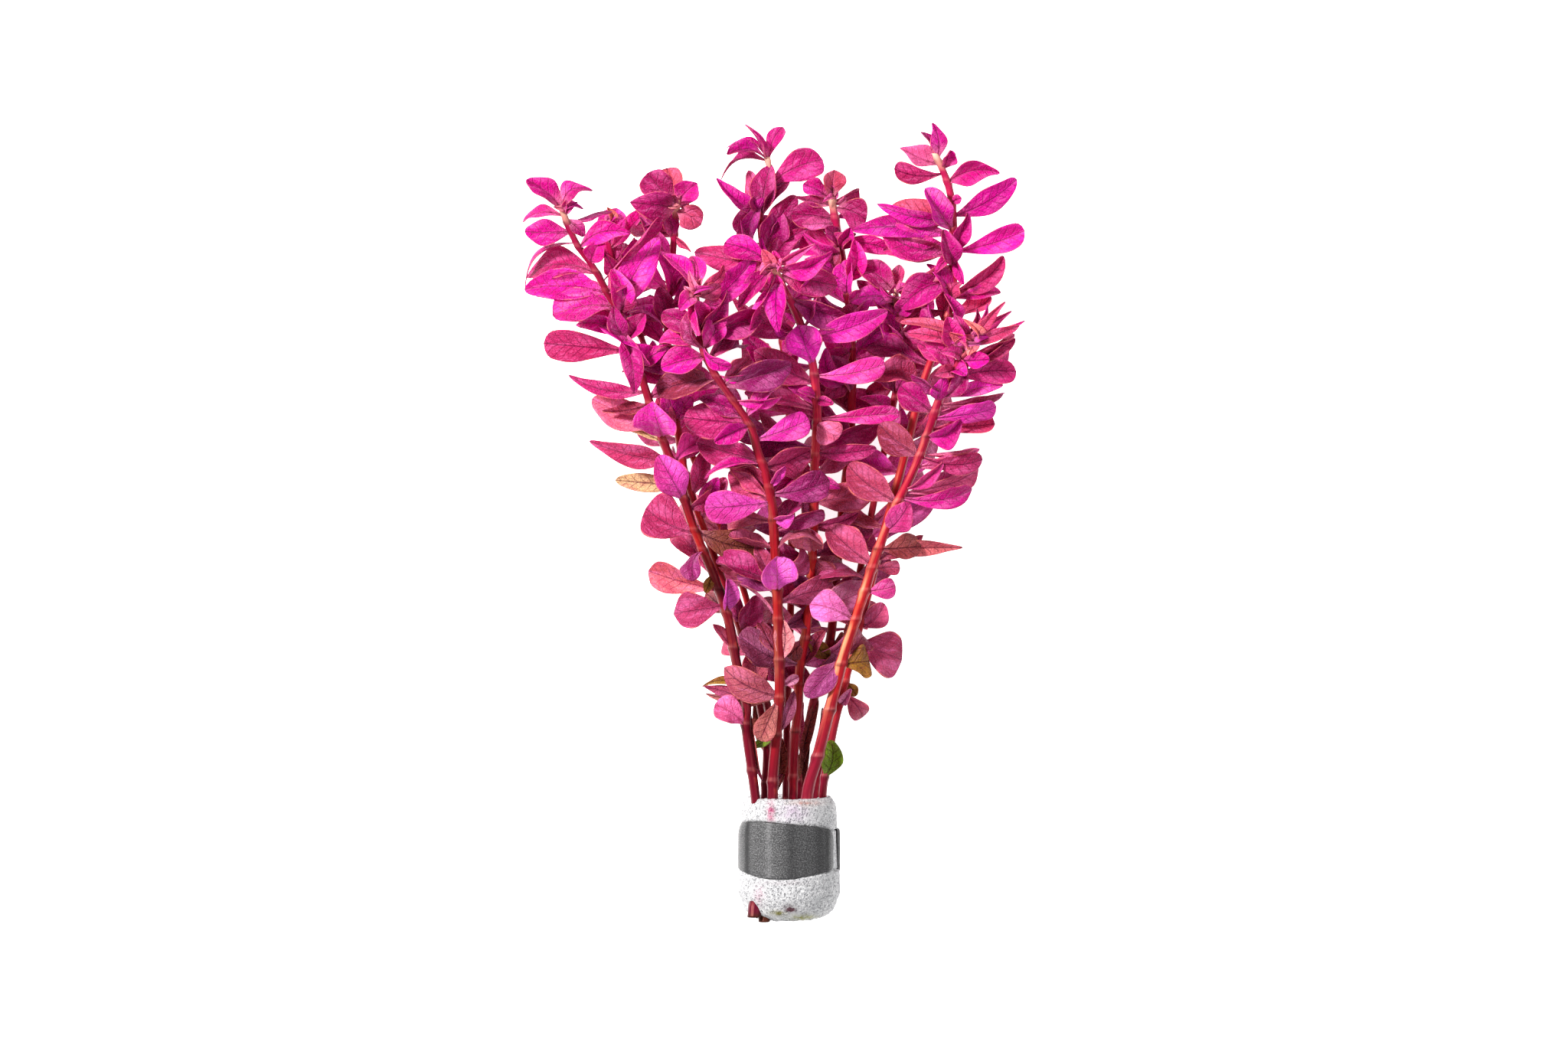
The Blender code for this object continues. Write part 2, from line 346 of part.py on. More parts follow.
        "thick": (2.1, 1.5), "own": 3,
        "leaves": (
            (199.5, 22.2, 196.2, 3, 8.8, 0, 1.5, 0.8, "round", "d"),
            (175.0, 18.6, 185.6, 5, 7.4, 0, 1.0, 0.8, "oval", "l"),
            (202.0, 13.2, 210.2, 2, 6.4, 0, 1.0, 0.0, "round", "s"),
            (190.5, 30.4, 184.8, 2, 5.4, 10, 1.0, 1.0, "oval", "m"),
            (190.0, 11.0, 182.6, 1, 6.4, 0, 1.0, 0.0, "round", "b"),
            (202.0, 4.3, 206.6, 1, 5.4, 0, 1.0, 0.0, "round", "m"),
            (201.5, 19.4, 205.4, 0, 4.8, 20, 0.5, 0.0, "round", "r"),
            (200.5, 1.4, 202.8, 0, 4.0, 30, 0.5, 0.0, "spear", "r"),
            (195.0, 3.2, 194.4, 2, 4.4, 20, 0.8, 0.0, "oval", "p"),
            (197.0, 22.0, 199.2, -4, 3.0, 0, 0.3, 0.0, "oval", "m"),
            (196.5, 0.5, 198.0, -4, 8.0, 0, 1.0, 0.0, "oval", "d"),
            (160.0, 8.6, 156.0, 1, 7.0, 0, 1.0, 0.0, "oval", "d"),
            (151.0, 10.0, 146.4, 1, 5.6, 0, 0.5, 0.0, "oval", "r"),
            (129.0, 26.0, 119.0, 1, 7.0, 0, 1.0, 0.0, "oval", "r"),
        ),
    },
    "right_middle": {
        "line": ((6.6, 1.4, 10.8), (7.7, 36.0, 11.5), (12.0, 60.0, 12.0), (17.5, 85.0, 12.5),
                 (21.5, 105.0, 13.0), (25.5, 125.0, 14.5), (29.5, 145.0, 17.5), (31.0, 160.0, 21.0),
                 (30.5, 170.0, 24.0), (30.0, 177.0, 28.0)),
        "thick": (1.9, 1.4), "own": 2,
        "leaves": (
            (176.0, 19.0, 184.2, 0, 7.6, 10, 1.0, -1.0, "oval", "d"),
            (173.5, 17.0, 173.4, 1, 6.4, 10, 1.0, -1.5, "oval", "l"),
            (165.0, 39.9, 156.4, 1, 7.0, 0, 1.0, 0.0, "oval", "r"),
            (176.5, 36.2, 178.4, 1, 4.2, 30, 0.5, 0.0, "spear", "s"),
            (176.0, 31.8, 184.6, 2, 4.0, 0, 0.5, 0.0, "oval", "r"),
            (163.5, 19.0, 160.6, 0, 5.0, 0, 0.5, 0.0, "oval", "p"),
            (151.5, 21.6, 147.4, -2, 5.4, 0, 0.5, 0.0, "oval", "r"),
            (146.0, 22.0, 143.5, 0, 4.0, 0, 0.5, 0.0, "oval", "b"),
        ),
    },
    "left_middle": {
        "line": ((-4.4, 1.4, 12.4), (-4.2, 36.0, 12.5), (-6.0, 60.0, 12.0), (-12.5, 92.0, 13.0),
                 (-27.0, 130.0, 15.0), (-40.0, 160.0, 17.5), (-47.5, 178.0, 20.0), (-50.5, 190.0, 22.0),
                 (-51.0, 197.0, 23.5)),
        "thick": (1.8, 1.4), "own": 2,
        "leaves": (
            (189.0, -49.3, 199.4, 3, 8.0, 5, 0.5, 0.0, "round", "m"),
            (176.0, -43.0, 191.5, 4, 7.0, 10, 0.5, 0.0, "oval", "m"),
            (184.0, -53.8, 191.0, 1, 5.0, 30, 0.5, 0.0, "oval", "d"),
            (180.0, -45.6, 190.0, 0, 6.0, 20, 0.5, 0.0, "oval", "d"),
            (164.0, -39.5, 176.0, 4, 7.0, 20, 0.5, 0.0, "oval", "u"),
        ),
    },
}

# The leaves deeper in the bunch, in opposite pairs: stem, first and last height, step, and length.
DEEP_LEAVES = (
    ("centre_left", 66.0, 172.0, 7.6, 18.0),
    ("centre", 64.0, 178.0, 7.6, 18.0),
    ("left_back", 70.0, 194.0, 7.6, 18.0),
    ("right_tall", 72.0, 204.0, 7.6, 18.0),
    ("centre_right", 66.0, 198.0, 7.6, 18.0),
    ("top_back", 66.0, 204.0, 7.6, 18.0),
    ("right_middle", 74.0, 170.0, 7.6, 18.0),
    ("left_middle", 74.0, 190.0, 7.6, 18.0),
    ("left_front", 74.0, 176.0, 9.0, 16.0),
    ("right_front", 74.0, 150.0, 9.0, 16.0),
)
DEEP_SEED = 11
DEEP_WIDTH = (7.6, 9.8)
DEEP_LEAN = (3.0, 9.0)

# How far out the deeper leaves reach: the sides by height, and the top by place across.
LEFT_SIDE = ((50.0, -10.0), (60.0, -13.0), (80.0, -18.0), (100.0, -29.0), (120.0, -33.0), (140.0, -41.0),
             (150.0, -39.0), (160.0, -43.0), (170.0, -53.0), (180.0, -60.0), (190.0, -58.0), (206.0, -48.0))
RIGHT_SIDE = ((50.0, 11.0), (62.0, 16.0), (75.0, 23.0), (90.0, 24.0), (100.0, 28.0), (110.0, 31.0),
              (120.0, 40.0), (130.0, 45.0), (140.0, 50.0), (160.0, 55.0), (170.0, 51.0), (190.0, 51.0),
              (208.0, 50.0))
TOP_SIDE = ((-62.0, 188.0), (-50.0, 197.0), (-42.0, 200.0), (-30.0, 203.0), (-25.0, 190.0), (-18.0, 188.0),
            (-14.0, 200.0), (-5.0, 209.0), (5.0, 205.0), (14.0, 204.0), (20.0, 196.0), (24.0, 184.0),
            (32.0, 182.0), (38.0, 187.0), (45.0, 202.0), (52.0, 190.0), (56.0, 176.0), (62.0, 160.0))

# A deeper leaf is kept where this share of it shows from above or helps to fill the depth.
COVER_CELL = 1.6
COVER_SHARE = 0.36

# The order of trying: how far a crowded leaf may lift or sink, turn, and shorten.
LIFTS = (0.0, 2.0, -2.0, 4.0, -4.0, 6.0, -6.0, 9.0, -9.0, 12.0, -12.0, 15.0)
TURNS = (0.0, 18.0, -18.0, 40.0, -40.0)
SHARES = (1.0, 0.85, 0.7)


def between(rows, at):
    """The value at a place between rows of (place, value)."""
    for (a, low), (b, high) in zip(rows, rows[1:]):
        if at <= b:
            return low + (high - low) * max(0.0, at - a) / (b - a)
    return rows[-1][1]


def real_place(x, y, z):
    """Where a place seen from above is, when it is z above the surface."""
    near = 1.0 - (z - EYE_LEVEL) / EYE_HEIGHT
    return Vector((MIDDLE_X + (x - MIDDLE_X) * near, MIDDLE_Y + (y - MIDDLE_Y) * near, z))


class Stem:
    """A stem's smooth line, and its radius along it."""

    def __init__(self, name, thick, line):
        self.name = name
        self.knots = [real_place(*knot) for knot in line]
        self.low = self.knots[0].y
        self.high = self.knots[-1].y
        self.thick = thick
        self.seen = [(knot[1], place.y) for knot, place in zip(line, self.knots)]

    def real_height(self, seen):
        """The true height of a place on the stem from the height that it is seen at."""
        return between(self.seen, seen)

    def at(self, y):
        """The middle of the stem at height y."""
        knots = self.knots
        for i in range(len(knots) - 1):
            if y <= knots[i + 1].y or i == len(knots) - 2:
                break
        a = knots[max(i - 1, 0)]
        b = knots[i]
        c = knots[i + 1]
        d = knots[min(i + 2, len(knots) - 1)]
        t = min(max((y - b.y) / (c.y - b.y), 0.0), 1.0)
        into = (c - a) * ((c.y - b.y) / (c.y - a.y))
        out = (d - b) * ((c.y - b.y) / (d.y - b.y))
        t2 = t * t
        t3 = t2 * t
        place = b * (2 * t3 - 3 * t2 + 1) + into * (t3 - 2 * t2 + t) + c * (3 * t2 - 2 * t3) + out * (t3 - t2)
        place.y = y
        return place

    def radius(self, y):
        share = (y - self.low) / (self.high - self.low)
        return 0.5 * (self.thick[0] + (self.thick[1] - self.thick[0]) * share)

    def heights(self):
        """Heights of the rings: the knots without which the line would stray."""
        kept = [0]
        last = len(self.knots) - 1
        while kept[-1] < last:
            start = kept[-1]
            reach = start + 1
            while reach < last and self.knots[start].y > FOAM_OUTLINE[-1][0] - 2.0:
                if self.stray(start, reach + 1) > STEM_STRAY:
                    break
                reach += 1
            kept.append(reach)
        return [self.knots[i].y for i in kept]

    def stray(self, start, end):
        """How far the knots between two others are from the straight line between these."""
        a = self.knots[start]
        b = self.knots[end]
        most = 0.0
        for knot in self.knots[start + 1:end]:
            share = (knot.y - a.y) / (b.y - a.y)
            most = max(most, (a + (b - a) * share - knot).length)
        return most


class Leaf:
    """One blade: its places, its shape and the skin used to keep it clear of the others."""

    def __init__(self, stem, row, lift=0.0, turn=0.0, share=1.0, own=False):
        seen, tip_x, tip_y, rise, width, twist, arch, left, outline, tint = row
        height = stem.real_height(seen)
        axis = stem.at(height)
        tip = real_place(tip_x, tip_y, axis.z + rise)
        tip.z = max(tip.z + lift, 0.0)
        tip = axis + (tip - axis) * share
        stem_way = (stem.at(height + 1.0) - stem.at(height - 1.0)).normalized()
        away = tip - axis
        away -= stem_way * away.dot(stem_way)
        away.normalize()
        reach = stem.radius(height) + FOOT_GAP + 0.5 * BLADE_THICK if own else 0.3 * stem.radius(height)
        self.foot = axis + away * reach
        self.tip = tip
        self.width = width * min(1.0, 0.3 + 0.7 * share)
        self.outline = outline
        self.tint = tint
        self.arch = arch
        self.left = left
        along = (self.tip - self.foot).normalized()
        up = Vector((0.0, 0.0, 1.0)) - along * along.z
        if up.length < 0.2:
            up = -away + along * away.dot(along)
        up.normalize()
        self.bow_side = -along.cross(up)
        self.up = Matrix.Rotation(math.radians(twist + turn), 3, along) @ up
        self.across = along.cross(self.up)
        self.length = (self.tip - self.foot).length
        self.area = self.length * self.width
        self.own = own

    def rows(self):
        size = 0 if self.own else 1 if self.area > 70.0 else 2
        return ROWS[self.outline][size]

    def corners(self):
        return CORNERS[0 if self.own else 1]

    def place(self, t, side, top, more=0.0):
        """A point of the blade: t from foot to tip, side and top from -1 to 1."""
        half = 0.5 * self.width * between(OUTLINES[self.outline], t)
        bow = 4.0 * t * (1.0 - t)
        point = self.foot.lerp(self.tip, t) + self.up * (self.arch * bow) + self.bow_side * (self.left * bow)
        point += self.across * (side * (half + more)) + self.up * (abs(side) * BLADE_FOLD * half)
        point.z = max(point.z, 0.5 * BLADE_THICK + more)
        thin = 0.5 * BLADE_THICK * (1.0 if t < 0.999 else 0.0) + more
        point += self.up * (top * thin)
        point.z = max(point.z, 0.0)
        return point

    def skin(self, more=0.0):
        """Points and faces a little outside the blade."""
        points = []
        faces = []
        rows = self.rows()
        corners = self.corners()
        n = len(corners)
        for t in rows:
            for side, top in corners:
                points.append(self.place(t, side, top, more))
        points.append(self.place(1.0, 0, 0) + (self.tip - self.foot).normalized() * more)
        for i in range(len(rows) - 1):
            for k in range(n):
                a = n * i + k
                b = n * i + (k + 1) % n
                faces.append((a, b, b + n, a + n))
        last = n * (len(rows) - 1)
        for k in range(n):
            faces.append((last + k, last + (k + 1) % n, len(points) - 1))
        faces.append(tuple(range(n)))
        return points, faces

    def cells(self):
        """The cells that the blade covers, seen from above."""
        found = set()
        for i in range(2, 12):
            for side in (-0.8, -0.4, 0.0, 0.4, 0.8):
                point = self.place(i / 12.0, side, 0)
                near = 1.0 - (point.z - EYE_LEVEL) / EYE_HEIGHT
                x = MIDDLE_X + (point.x - MIDDLE_X) / near
                y = MIDDLE_Y + (point.y - MIDDLE_Y) / near
                found.add((int(x // COVER_CELL), int(y // COVER_CELL)))
        return found


def box_of(points):
    low = [min(p[i] for p in points) for i in range(3)]
    high = [max(p[i] for p in points) for i in range(3)]
    return low, high


def apart(a, b, gap):
    return any(a[0][i] > b[1][i] + gap or b[0][i] > a[1][i] + gap for i in range(3))


class Crowd:
    """What is placed already, for keeping each new leaf clear of it."""

    def __init__(self):
        self.items = []

    def add(self, owner, points, faces):
        self.items.append((owner, box_of(points), BVHTree.FromPolygons(points, faces)))

    def meets(self, points, faces, skip=None):
        box = box_of(points)
        tree = None
        for owner, other_box, other in self.items:
            if owner == skip or apart(box, other_box, 0.0):
                continue
            if tree is None:
                tree = BVHTree.FromPolygons(points, faces)
            if tree.overlap(other):
                return True
        return False


def stem_skin(stem, more=0.0, sides=6):
    """Points and faces round a stem."""
    points = []
    faces = []
    heights = stem.heights()
    for y in heights:
        middle = stem.at(y)
        radius = stem.radius(y) + more
        for k in range(sides):
            angle = 2.0 * math.pi * k / sides
            points.append(middle + Vector((math.cos(angle) * radius, 0.0, math.sin(angle) * radius)))
    for i in range(len(heights) - 1):
        for k in range(sides):
            a = i * sides + k
            b = i * sides + (k + 1) % sides
            faces.append((a, b, b + sides, a + sides))
    return points, faces


def deep_rows(stem, first, last, step, length, draw):
    """Leaf rows for the opposite pairs that spread sideways, then down and out, by turns."""
    rows = []
    height = first
    count = 0
    while height <= last:
        axis = stem.at(stem.real_height(height))
        for side in (-1.0, 1.0):
            angle = math.radians(draw.uniform(-26.0, -4.0) if count % 2 else draw.uniform(-66.0, -38.0))
            reach = length * draw.uniform(0.85, 1.1)
            lean = draw.uniform(*DEEP_LEAN)
            width = draw.uniform(*DEEP_WIDTH)
            twist = draw.uniform(-14.0, 14.0)
            outline = "round" if draw.random() < 0.5 - (height - 110.0) / 150.0 else "oval"
            tint = draw.choice("rrbu" if height < 112.0 else "rrdu" if height < 160.0 else "dmdr")
            tip_x = axis.x + side * reach * math.cos(angle)
            tip_y = height + lean
            if height > 84.0 or draw.random() < 0.6:
                rows.append((height, tip_x, tip_y, reach * math.sin(angle), width, twist, 0.9, 0.0,
                             outline, tint))
        height += step
        count += 1
    return rows


def inside(row):
    """Whether a deeper leaf keeps within the sides and the top of the bunch."""
    x = row[1]
    y = row[2]
    return between(LEFT_SIDE, y) < x < between(RIGHT_SIDE, y) and y < between(TOP_SIDE, x)


def lay_out():
    """All stems, and all leaves as (stem name, leaf, is its own piece)."""
    stems = {name: Stem(name, spec["thick"], spec["line"]) for name, spec in STEMS.items()}
    crowd = Crowd()
    for name, stem in stems.items():
        crowd.add(name, *stem_skin(stem))
    wanted = []
    for name, spec in STEMS.items():
        big = sorted(spec["leaves"], key=lambda row: -leaf_size(stems[name], row))[:spec["own"]]
        for row in spec["leaves"]:
            wanted.append((name, row, row in big))
    wanted.sort(key=lambda item: not item[2])
    placed = []
    covered = set()
    for name, row, own in wanted:
        leaf = fit_leaf(stems[name], row, own, crowd)
        if leaf is not None:
            placed.append((name, leaf, own))
            covered |= leaf.cells()
    draw = random.Random(DEEP_SEED)
    for name, first, last, step, length in DEEP_LEAVES:
        for row in deep_rows(stems[name], first, last, step, length, draw):
            if not inside(row):
                continue
            leaf = fit_leaf(stems[name], row, False, crowd, covered)
            if leaf is not None:
                placed.append((name, leaf, False))
                covered |= leaf.cells()
    return stems, placed


def leaf_size(stem, row):
    leaf = Leaf(stem, row)
    return leaf.area


def fit_leaf(stem, row, own, crowd, covered=None):
    """The first try that is clear of all that is placed, and that shows enough if covered is given."""
    for share in SHARES:
        for lift in LIFTS:
            for turn in TURNS:
                leaf = Leaf(stem, row, lift, turn, share, own)
                if covered is not None:
                    cells = leaf.cells()
                    if len(cells - covered) < COVER_SHARE * len(cells):
                        continue
                skip = None if own else stem.name
                if crowd.meets(*leaf.skin(BLADE_GAP), skip=skip):
                    continue
                crowd.add(stem.name + " leaf", *leaf.skin())
                return leaf
    return None


def material(name, colour, roughness, metallic=0.0):
    made = bpy.data.materials.new(name)
    made.use_nodes = True
    shader = made.node_tree.nodes["Principled BSDF"]
    shader.inputs["Base Color"].default_value = (*colour, 1.0)
    shader.inputs["Roughness"].default_value = roughness
    shader.inputs["Metallic"].default_value = metallic
    return made


def new_object(name, mesh, collection, paint=None):
    made = bpy.data.objects.new(name, mesh)
    collection.objects.link(made)
    if paint is not None:
        mesh.materials.append(paint)
    return made


def helper(obj):
    obj.hide_render = True
    obj.display_type = "WIRE"
    return obj


def add_blade(bm, leaf, move):
    """A bar with three or four sides, cut into rows and shaped by the leaf's curve."""
    before = set(bm.verts)
    corners = leaf.corners()
    bmesh.ops.create_cone(bm, cap_ends=True, segments=len(corners), radius1=1.0, radius2=1.0, depth=1.0,
                          matrix=Matrix.Translation((0.0, 0.0, 0.5)))
    for t in leaf.rows()[1:]:
        fresh = [v for v in bm.verts if v not in before]
        edges = {e for v in fresh for e in v.link_edges}
        faces = {f for v in fresh for f in v.link_faces}
        bmesh.ops.bisect_plane(bm, geom=fresh + list(edges) + list(faces), plane_co=(0.0, 0.0, t),
                               plane_no=(0.0, 0.0, 1.0))
    fresh = [v for v in bm.verts if v not in before]
    tips = []
    for v in fresh:
        t = v.co.z
        turn = math.atan2(v.co.x, v.co.y) / (2.0 * math.pi) * len(corners)
        side, top = corners[round(turn) % len(corners)]
        if t > 0.999:
            tips.append(v)
            side = 0
            top = 0
        v.co = (leaf.place(t, side, top) + move) * MM
    bmesh.ops.remove_doubles(bm, verts=tips, dist=1e-6)


def blade_mesh(name, leaves, move):
    bm = bmesh.new()
    for leaf in leaves:
        add_blade(bm, leaf, move)
    bmesh.ops.recalc_face_normals(bm, faces=bm.faces)
    mesh = bpy.data.meshes.new(name)
    bm.to_mesh(mesh)
    bm.free()
    mesh.shade_smooth()
    mesh.set_sharp_from_angle(angle=math.radians(40.0))
    return mesh


def tube(name, points, radii, collection):
    """A closed tube along points, as a mesh."""
    curve = bpy.data.curves.new(name, "CURVE")
    curve.dimensions = "3D"
    curve.twist_mode = "Z_UP"
    curve.bevel_depth = 1.0
    curve.bevel_resolution = 1
    curve.use_fill_caps = True
    spline = curve.splines.new("POLY")
    spline.points.add(len(points) - 1)
    for knot, point, radius in zip(spline.points, points, radii):
        knot.co = (*(point * MM), 1.0)
        knot.radius = radius * MM
    guide = bpy.data.objects.new(name + "_guide", curve)
    collection.objects.link(guide)
    graph = bpy.context.evaluated_depsgraph_get()
    mesh = bpy.data.meshes.new_from_object(guide.evaluated_get(graph))
    bpy.data.objects.remove(guide)
    bm = bmesh.new()
    bm.from_mesh(mesh)
    bmesh.ops.remove_doubles(bm, verts=bm.verts, dist=1e-7)
    bmesh.ops.recalc_face_normals(bm, faces=bm.faces)
    bm.to_mesh(mesh)
    bm.free()
    mesh.name = name
    return mesh


def foam_radius(y, angle):
    """The foam's radius at a height and an angle, with the step where its end laps over."""
    turn = ((math.degrees(angle) - FOAM_LAP_ANGLE) % 360.0) / 360.0
    return between(FOAM_OUTLINE, y) - FOAM_LAP * turn


def foam_mesh(move):
    bm = bmesh.new()
    top = FOAM_OUTLINE[-1][0]
    bmesh.ops.create_cone(bm, cap_ends=True, segments=FOAM_SIDES, radius1=1.0, radius2=1.0, depth=top,
                          matrix=Matrix.Translation((0.0, 0.0, 0.5 * top)))
    for y, radius in FOAM_OUTLINE[1:-1]:
        bmesh.ops.bisect_plane(bm, geom=list(bm.verts) + list(bm.edges) + list(bm.faces),
                               plane_co=(0.0, 0.0, y), plane_no=(0.0, 0.0, 1.0))
    for v in bm.verts:
        angle = math.atan2(v.co.y, v.co.x)
        y = v.co.z
        radius = foam_radius(y, angle)
        place = Vector((math.cos(angle) * radius, y, FOAM_AXIS_Z + math.sin(angle) * radius))
        v.co = (place + move) * MM
    bmesh.ops.recalc_face_normals(bm, faces=bm.faces)
    mesh = bpy.data.meshes.new("foam_wrap")
    bm.to_mesh(mesh)
    bm.free()
    mesh.shade_smooth()
    mesh.set_sharp_from_angle(angle=math.radians(35.0))
    return mesh


def lead_mesh(move):
    bm = bmesh.new()
    bmesh.ops.create_grid(bm, x_segments=LEAD_STEPS, y_segments=1, size=0.5)
    for v in bm.verts:
        share = v.co.x + 0.5
        angle = LEAD_START + (LEAD_END - LEAD_START) * share
        edge = LEAD_TOP if v.co.y > 0.0 else LEAD_BOTTOM
        radius = LEAD_RADIUS + LEAD_FLARE * max(0.0, share - 0.9) * 10.0
        turn = math.radians(angle)
        place = Vector((math.cos(turn) * radius, between(edge, angle), FOAM_AXIS_Z + math.sin(turn) * radius))
        v.co = (place + move) * MM
    mesh = bpy.data.meshes.new("lead_strip")
    bm.to_mesh(mesh)
    bm.free()
    return mesh


def build():
    for old in list(bpy.data.objects):
        bpy.data.objects.remove(old)
    bunch = bpy.data.collections.new("rotala_bunch")
    helpers = bpy.data.collections.new("cutters")
    bpy.context.scene.collection.children.link(bunch)
    bpy.context.scene.collection.children.link(helpers)

    stems, placed = lay_out()
    points = [p for name, leaf, own in placed for p in leaf.skin()[0]]
    for stem in stems.values():
        points += stem_skin(stem)[0]
    wide = max(radius for y, radius in FOAM_OUTLINE)
    points += [Vector((-wide, 0.0, FOAM_AXIS_Z)), Vector((wide, 0.0, FOAM_AXIS_Z))]
    low, high = box_of(points)
    move = Vector((-0.5 * (low[0] + high[0]), -0.5 * (low[1] + high[1]), 0.0))

    paints = {letter: material(name, colour, 0.4) for letter, (name, colour) in TINTS.items()}
    stem_paint = material("red_stem", (0.42, 0.03, 0.02), 0.35)
    foam = new_object("foam_wrap", foam_mesh(move), bunch, material("white_foam", (0.72, 0.72, 0.72), 0.9))
    grey_lead = material("grey_lead", (0.12, 0.12, 0.125), 0.45, 1.0)
    lead = new_object("lead_strip", lead_mesh(move), bunch, grey_lead)
    wall = lead.modifiers.new("thickness", "SOLIDIFY")
    wall.thickness = LEAD_THICK * MM
    wall.offset = -1.0

    for number, (middle, size, turn) in enumerate(FOAM_TEARS, 1):
        tear = bpy.data.meshes.new("foam_tear_%d" % number)
        bm = bmesh.new()
        place = Matrix.Translation((Vector(middle) + move) * MM)
        shape = Matrix.Rotation(math.radians(turn), 4, "Z") @ Matrix.Diagonal((*(Vector(size) * MM), 1.0))
        bmesh.ops.create_cube(bm, size=1.0, matrix=place @ shape)
        bm.to_mesh(tear)
        bm.free()
        cut = foam.modifiers.new(tear.name, "BOOLEAN")
        cut.operation = "DIFFERENCE"
        cut.object = helper(new_object(tear.name, tear, helpers))

    for name, stem in stems.items():
        heights = stem.heights()
        line = [stem.at(y) + move for y in heights]
        radii = [stem.radius(y) for y in heights]
        body = new_object(name, tube(name, line, radii, helpers), bunch, stem_paint)
        body.data.shade_smooth()

        past = (line[0] - line[1]).normalized()
        inside = [i for i, y in enumerate(heights) if y < FOAM_OUTLINE[-1][0]]
        hole_line = [line[0] + past * 6.0] + line[1:len(inside) + 1]
        hole_radii = [radii[0] + HOLE_CLEARANCE] + [r + HOLE_CLEARANCE for r in radii[1:len(inside) + 1]]
        hole = new_object(name + "_hole", tube(name + "_hole", hole_line, hole_radii, helpers), helpers)
        helper(hole)
        cut = foam.modifiers.new(name, "BOOLEAN")
        cut.operation = "DIFFERENCE"
        cut.object = hole

        small = [leaf for owner, leaf, own in placed if owner == name and not own]
        joined = new_object(name + "_small_leaves", blade_mesh(name + "_small_leaves", small, move), helpers)
        helper(joined)
        union = body.modifiers.new("small_leaves", "BOOLEAN")
        union.operation = "UNION"
        union.use_self = True
        union.object = joined

        large = [leaf for owner, leaf, own in placed if owner == name and own]
        for number, leaf in enumerate(large, 1):
            label = "%s_leaf_%d" % (name, number)
            new_object(label, blade_mesh(label, [leaf], move), bunch, paints[leaf.tint])
    return stems, placed


build()
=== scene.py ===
import math
import random

import bmesh
import bpy
from mathutils import Matrix, Vector, noise
from mathutils.bvhtree import BVHTree


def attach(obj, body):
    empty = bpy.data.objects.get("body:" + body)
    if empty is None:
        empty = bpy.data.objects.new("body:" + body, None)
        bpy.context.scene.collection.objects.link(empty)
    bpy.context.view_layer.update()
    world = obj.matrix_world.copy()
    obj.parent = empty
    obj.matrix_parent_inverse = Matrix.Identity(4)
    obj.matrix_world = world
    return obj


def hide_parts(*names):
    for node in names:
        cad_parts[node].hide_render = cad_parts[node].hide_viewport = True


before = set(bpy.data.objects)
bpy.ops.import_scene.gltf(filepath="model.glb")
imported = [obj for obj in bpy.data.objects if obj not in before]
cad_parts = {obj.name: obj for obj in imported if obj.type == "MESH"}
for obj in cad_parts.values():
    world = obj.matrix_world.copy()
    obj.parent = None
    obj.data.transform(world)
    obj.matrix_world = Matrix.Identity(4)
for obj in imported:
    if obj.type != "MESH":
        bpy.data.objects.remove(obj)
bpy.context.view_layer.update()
mm = 0.001
print("frame loaded")

# The photograph's frame, in millimetres: X from the middle of the foam, Y from its lower end, as seen
# by an eye straight above the lying bunch.
eye = {"height": 1100.0, "level": 20.0, "x": -1.3, "y": 111.4, "across": 440.4, "sensor": 36.0}

foam = {
    "axisZ": 14.67,
    "outline": ((0.0, 9.6), (1.6, 12.8), (5.6, 14.8), (10.6, 14.6), (11.8, 13.1), (28.1, 12.7),
                (29.0, 14.0), (32.6, 13.7), (34.2, 12.2)),
    "lap": 0.7, "lapAngle": 205.0,
    # how much the foam swells out between the ends of the strip, by angle
    "bulge": 0.95, "opening": ((-60.0, 0.0), (-10.0, 1.0), (22.0, 1.0), (34.0, 0.0)),
    "sides": 200, "rows": 90, "bumps": 0.24, "bumpSize": 1.1, "layers": 3.1,
    "colour": (0.42, 0.42, 0.43), "pores": (0.20, 0.20, 0.22),
    "pale": (0.33, 0.335, 0.35), "spark": (0.66, 0.66, 0.66),
    # x, y, half width, half height, strength and colour of each stain on the upper side
    "stains": (
        (-4.9, 30.6, 1.1, 2.6, 1.1, (0.32, 0.05, 0.13)), (1.2, 30.6, 4.2, 2.4, 0.6, (0.42, 0.30, 0.42)),
        (-8.2, 7.4, 1.4, 2.6, 0.5, (0.36, 0.17, 0.24)), (0.4, 3.5, 1.8, 1.1, 1.5, (0.05, 0.012, 0.02)),
        (-3.0, 2.3, 2.4, 0.7, 1.3, (0.12, 0.11, 0.02)), (3.8, 0.9, 3.2, 0.8, 1.3, (0.20, 0.20, 0.04)),
        (-13.0, 9.0, 0.9, 4.0, 0.5, (0.30, 0.30, 0.32)), (4.4, 33.0, 4.5, 0.7, 0.7, (0.34, 0.10, 0.06)),
        (-2.0, 11.0, 6.0, 0.5, 0.5, (0.30, 0.24, 0.27)),
    ),
    # the radius from which the foam is the outer wrap, and the one inside which its layers show
    "wrap": 12.0, "core": 9.5, "layerRise": 0.35,
}
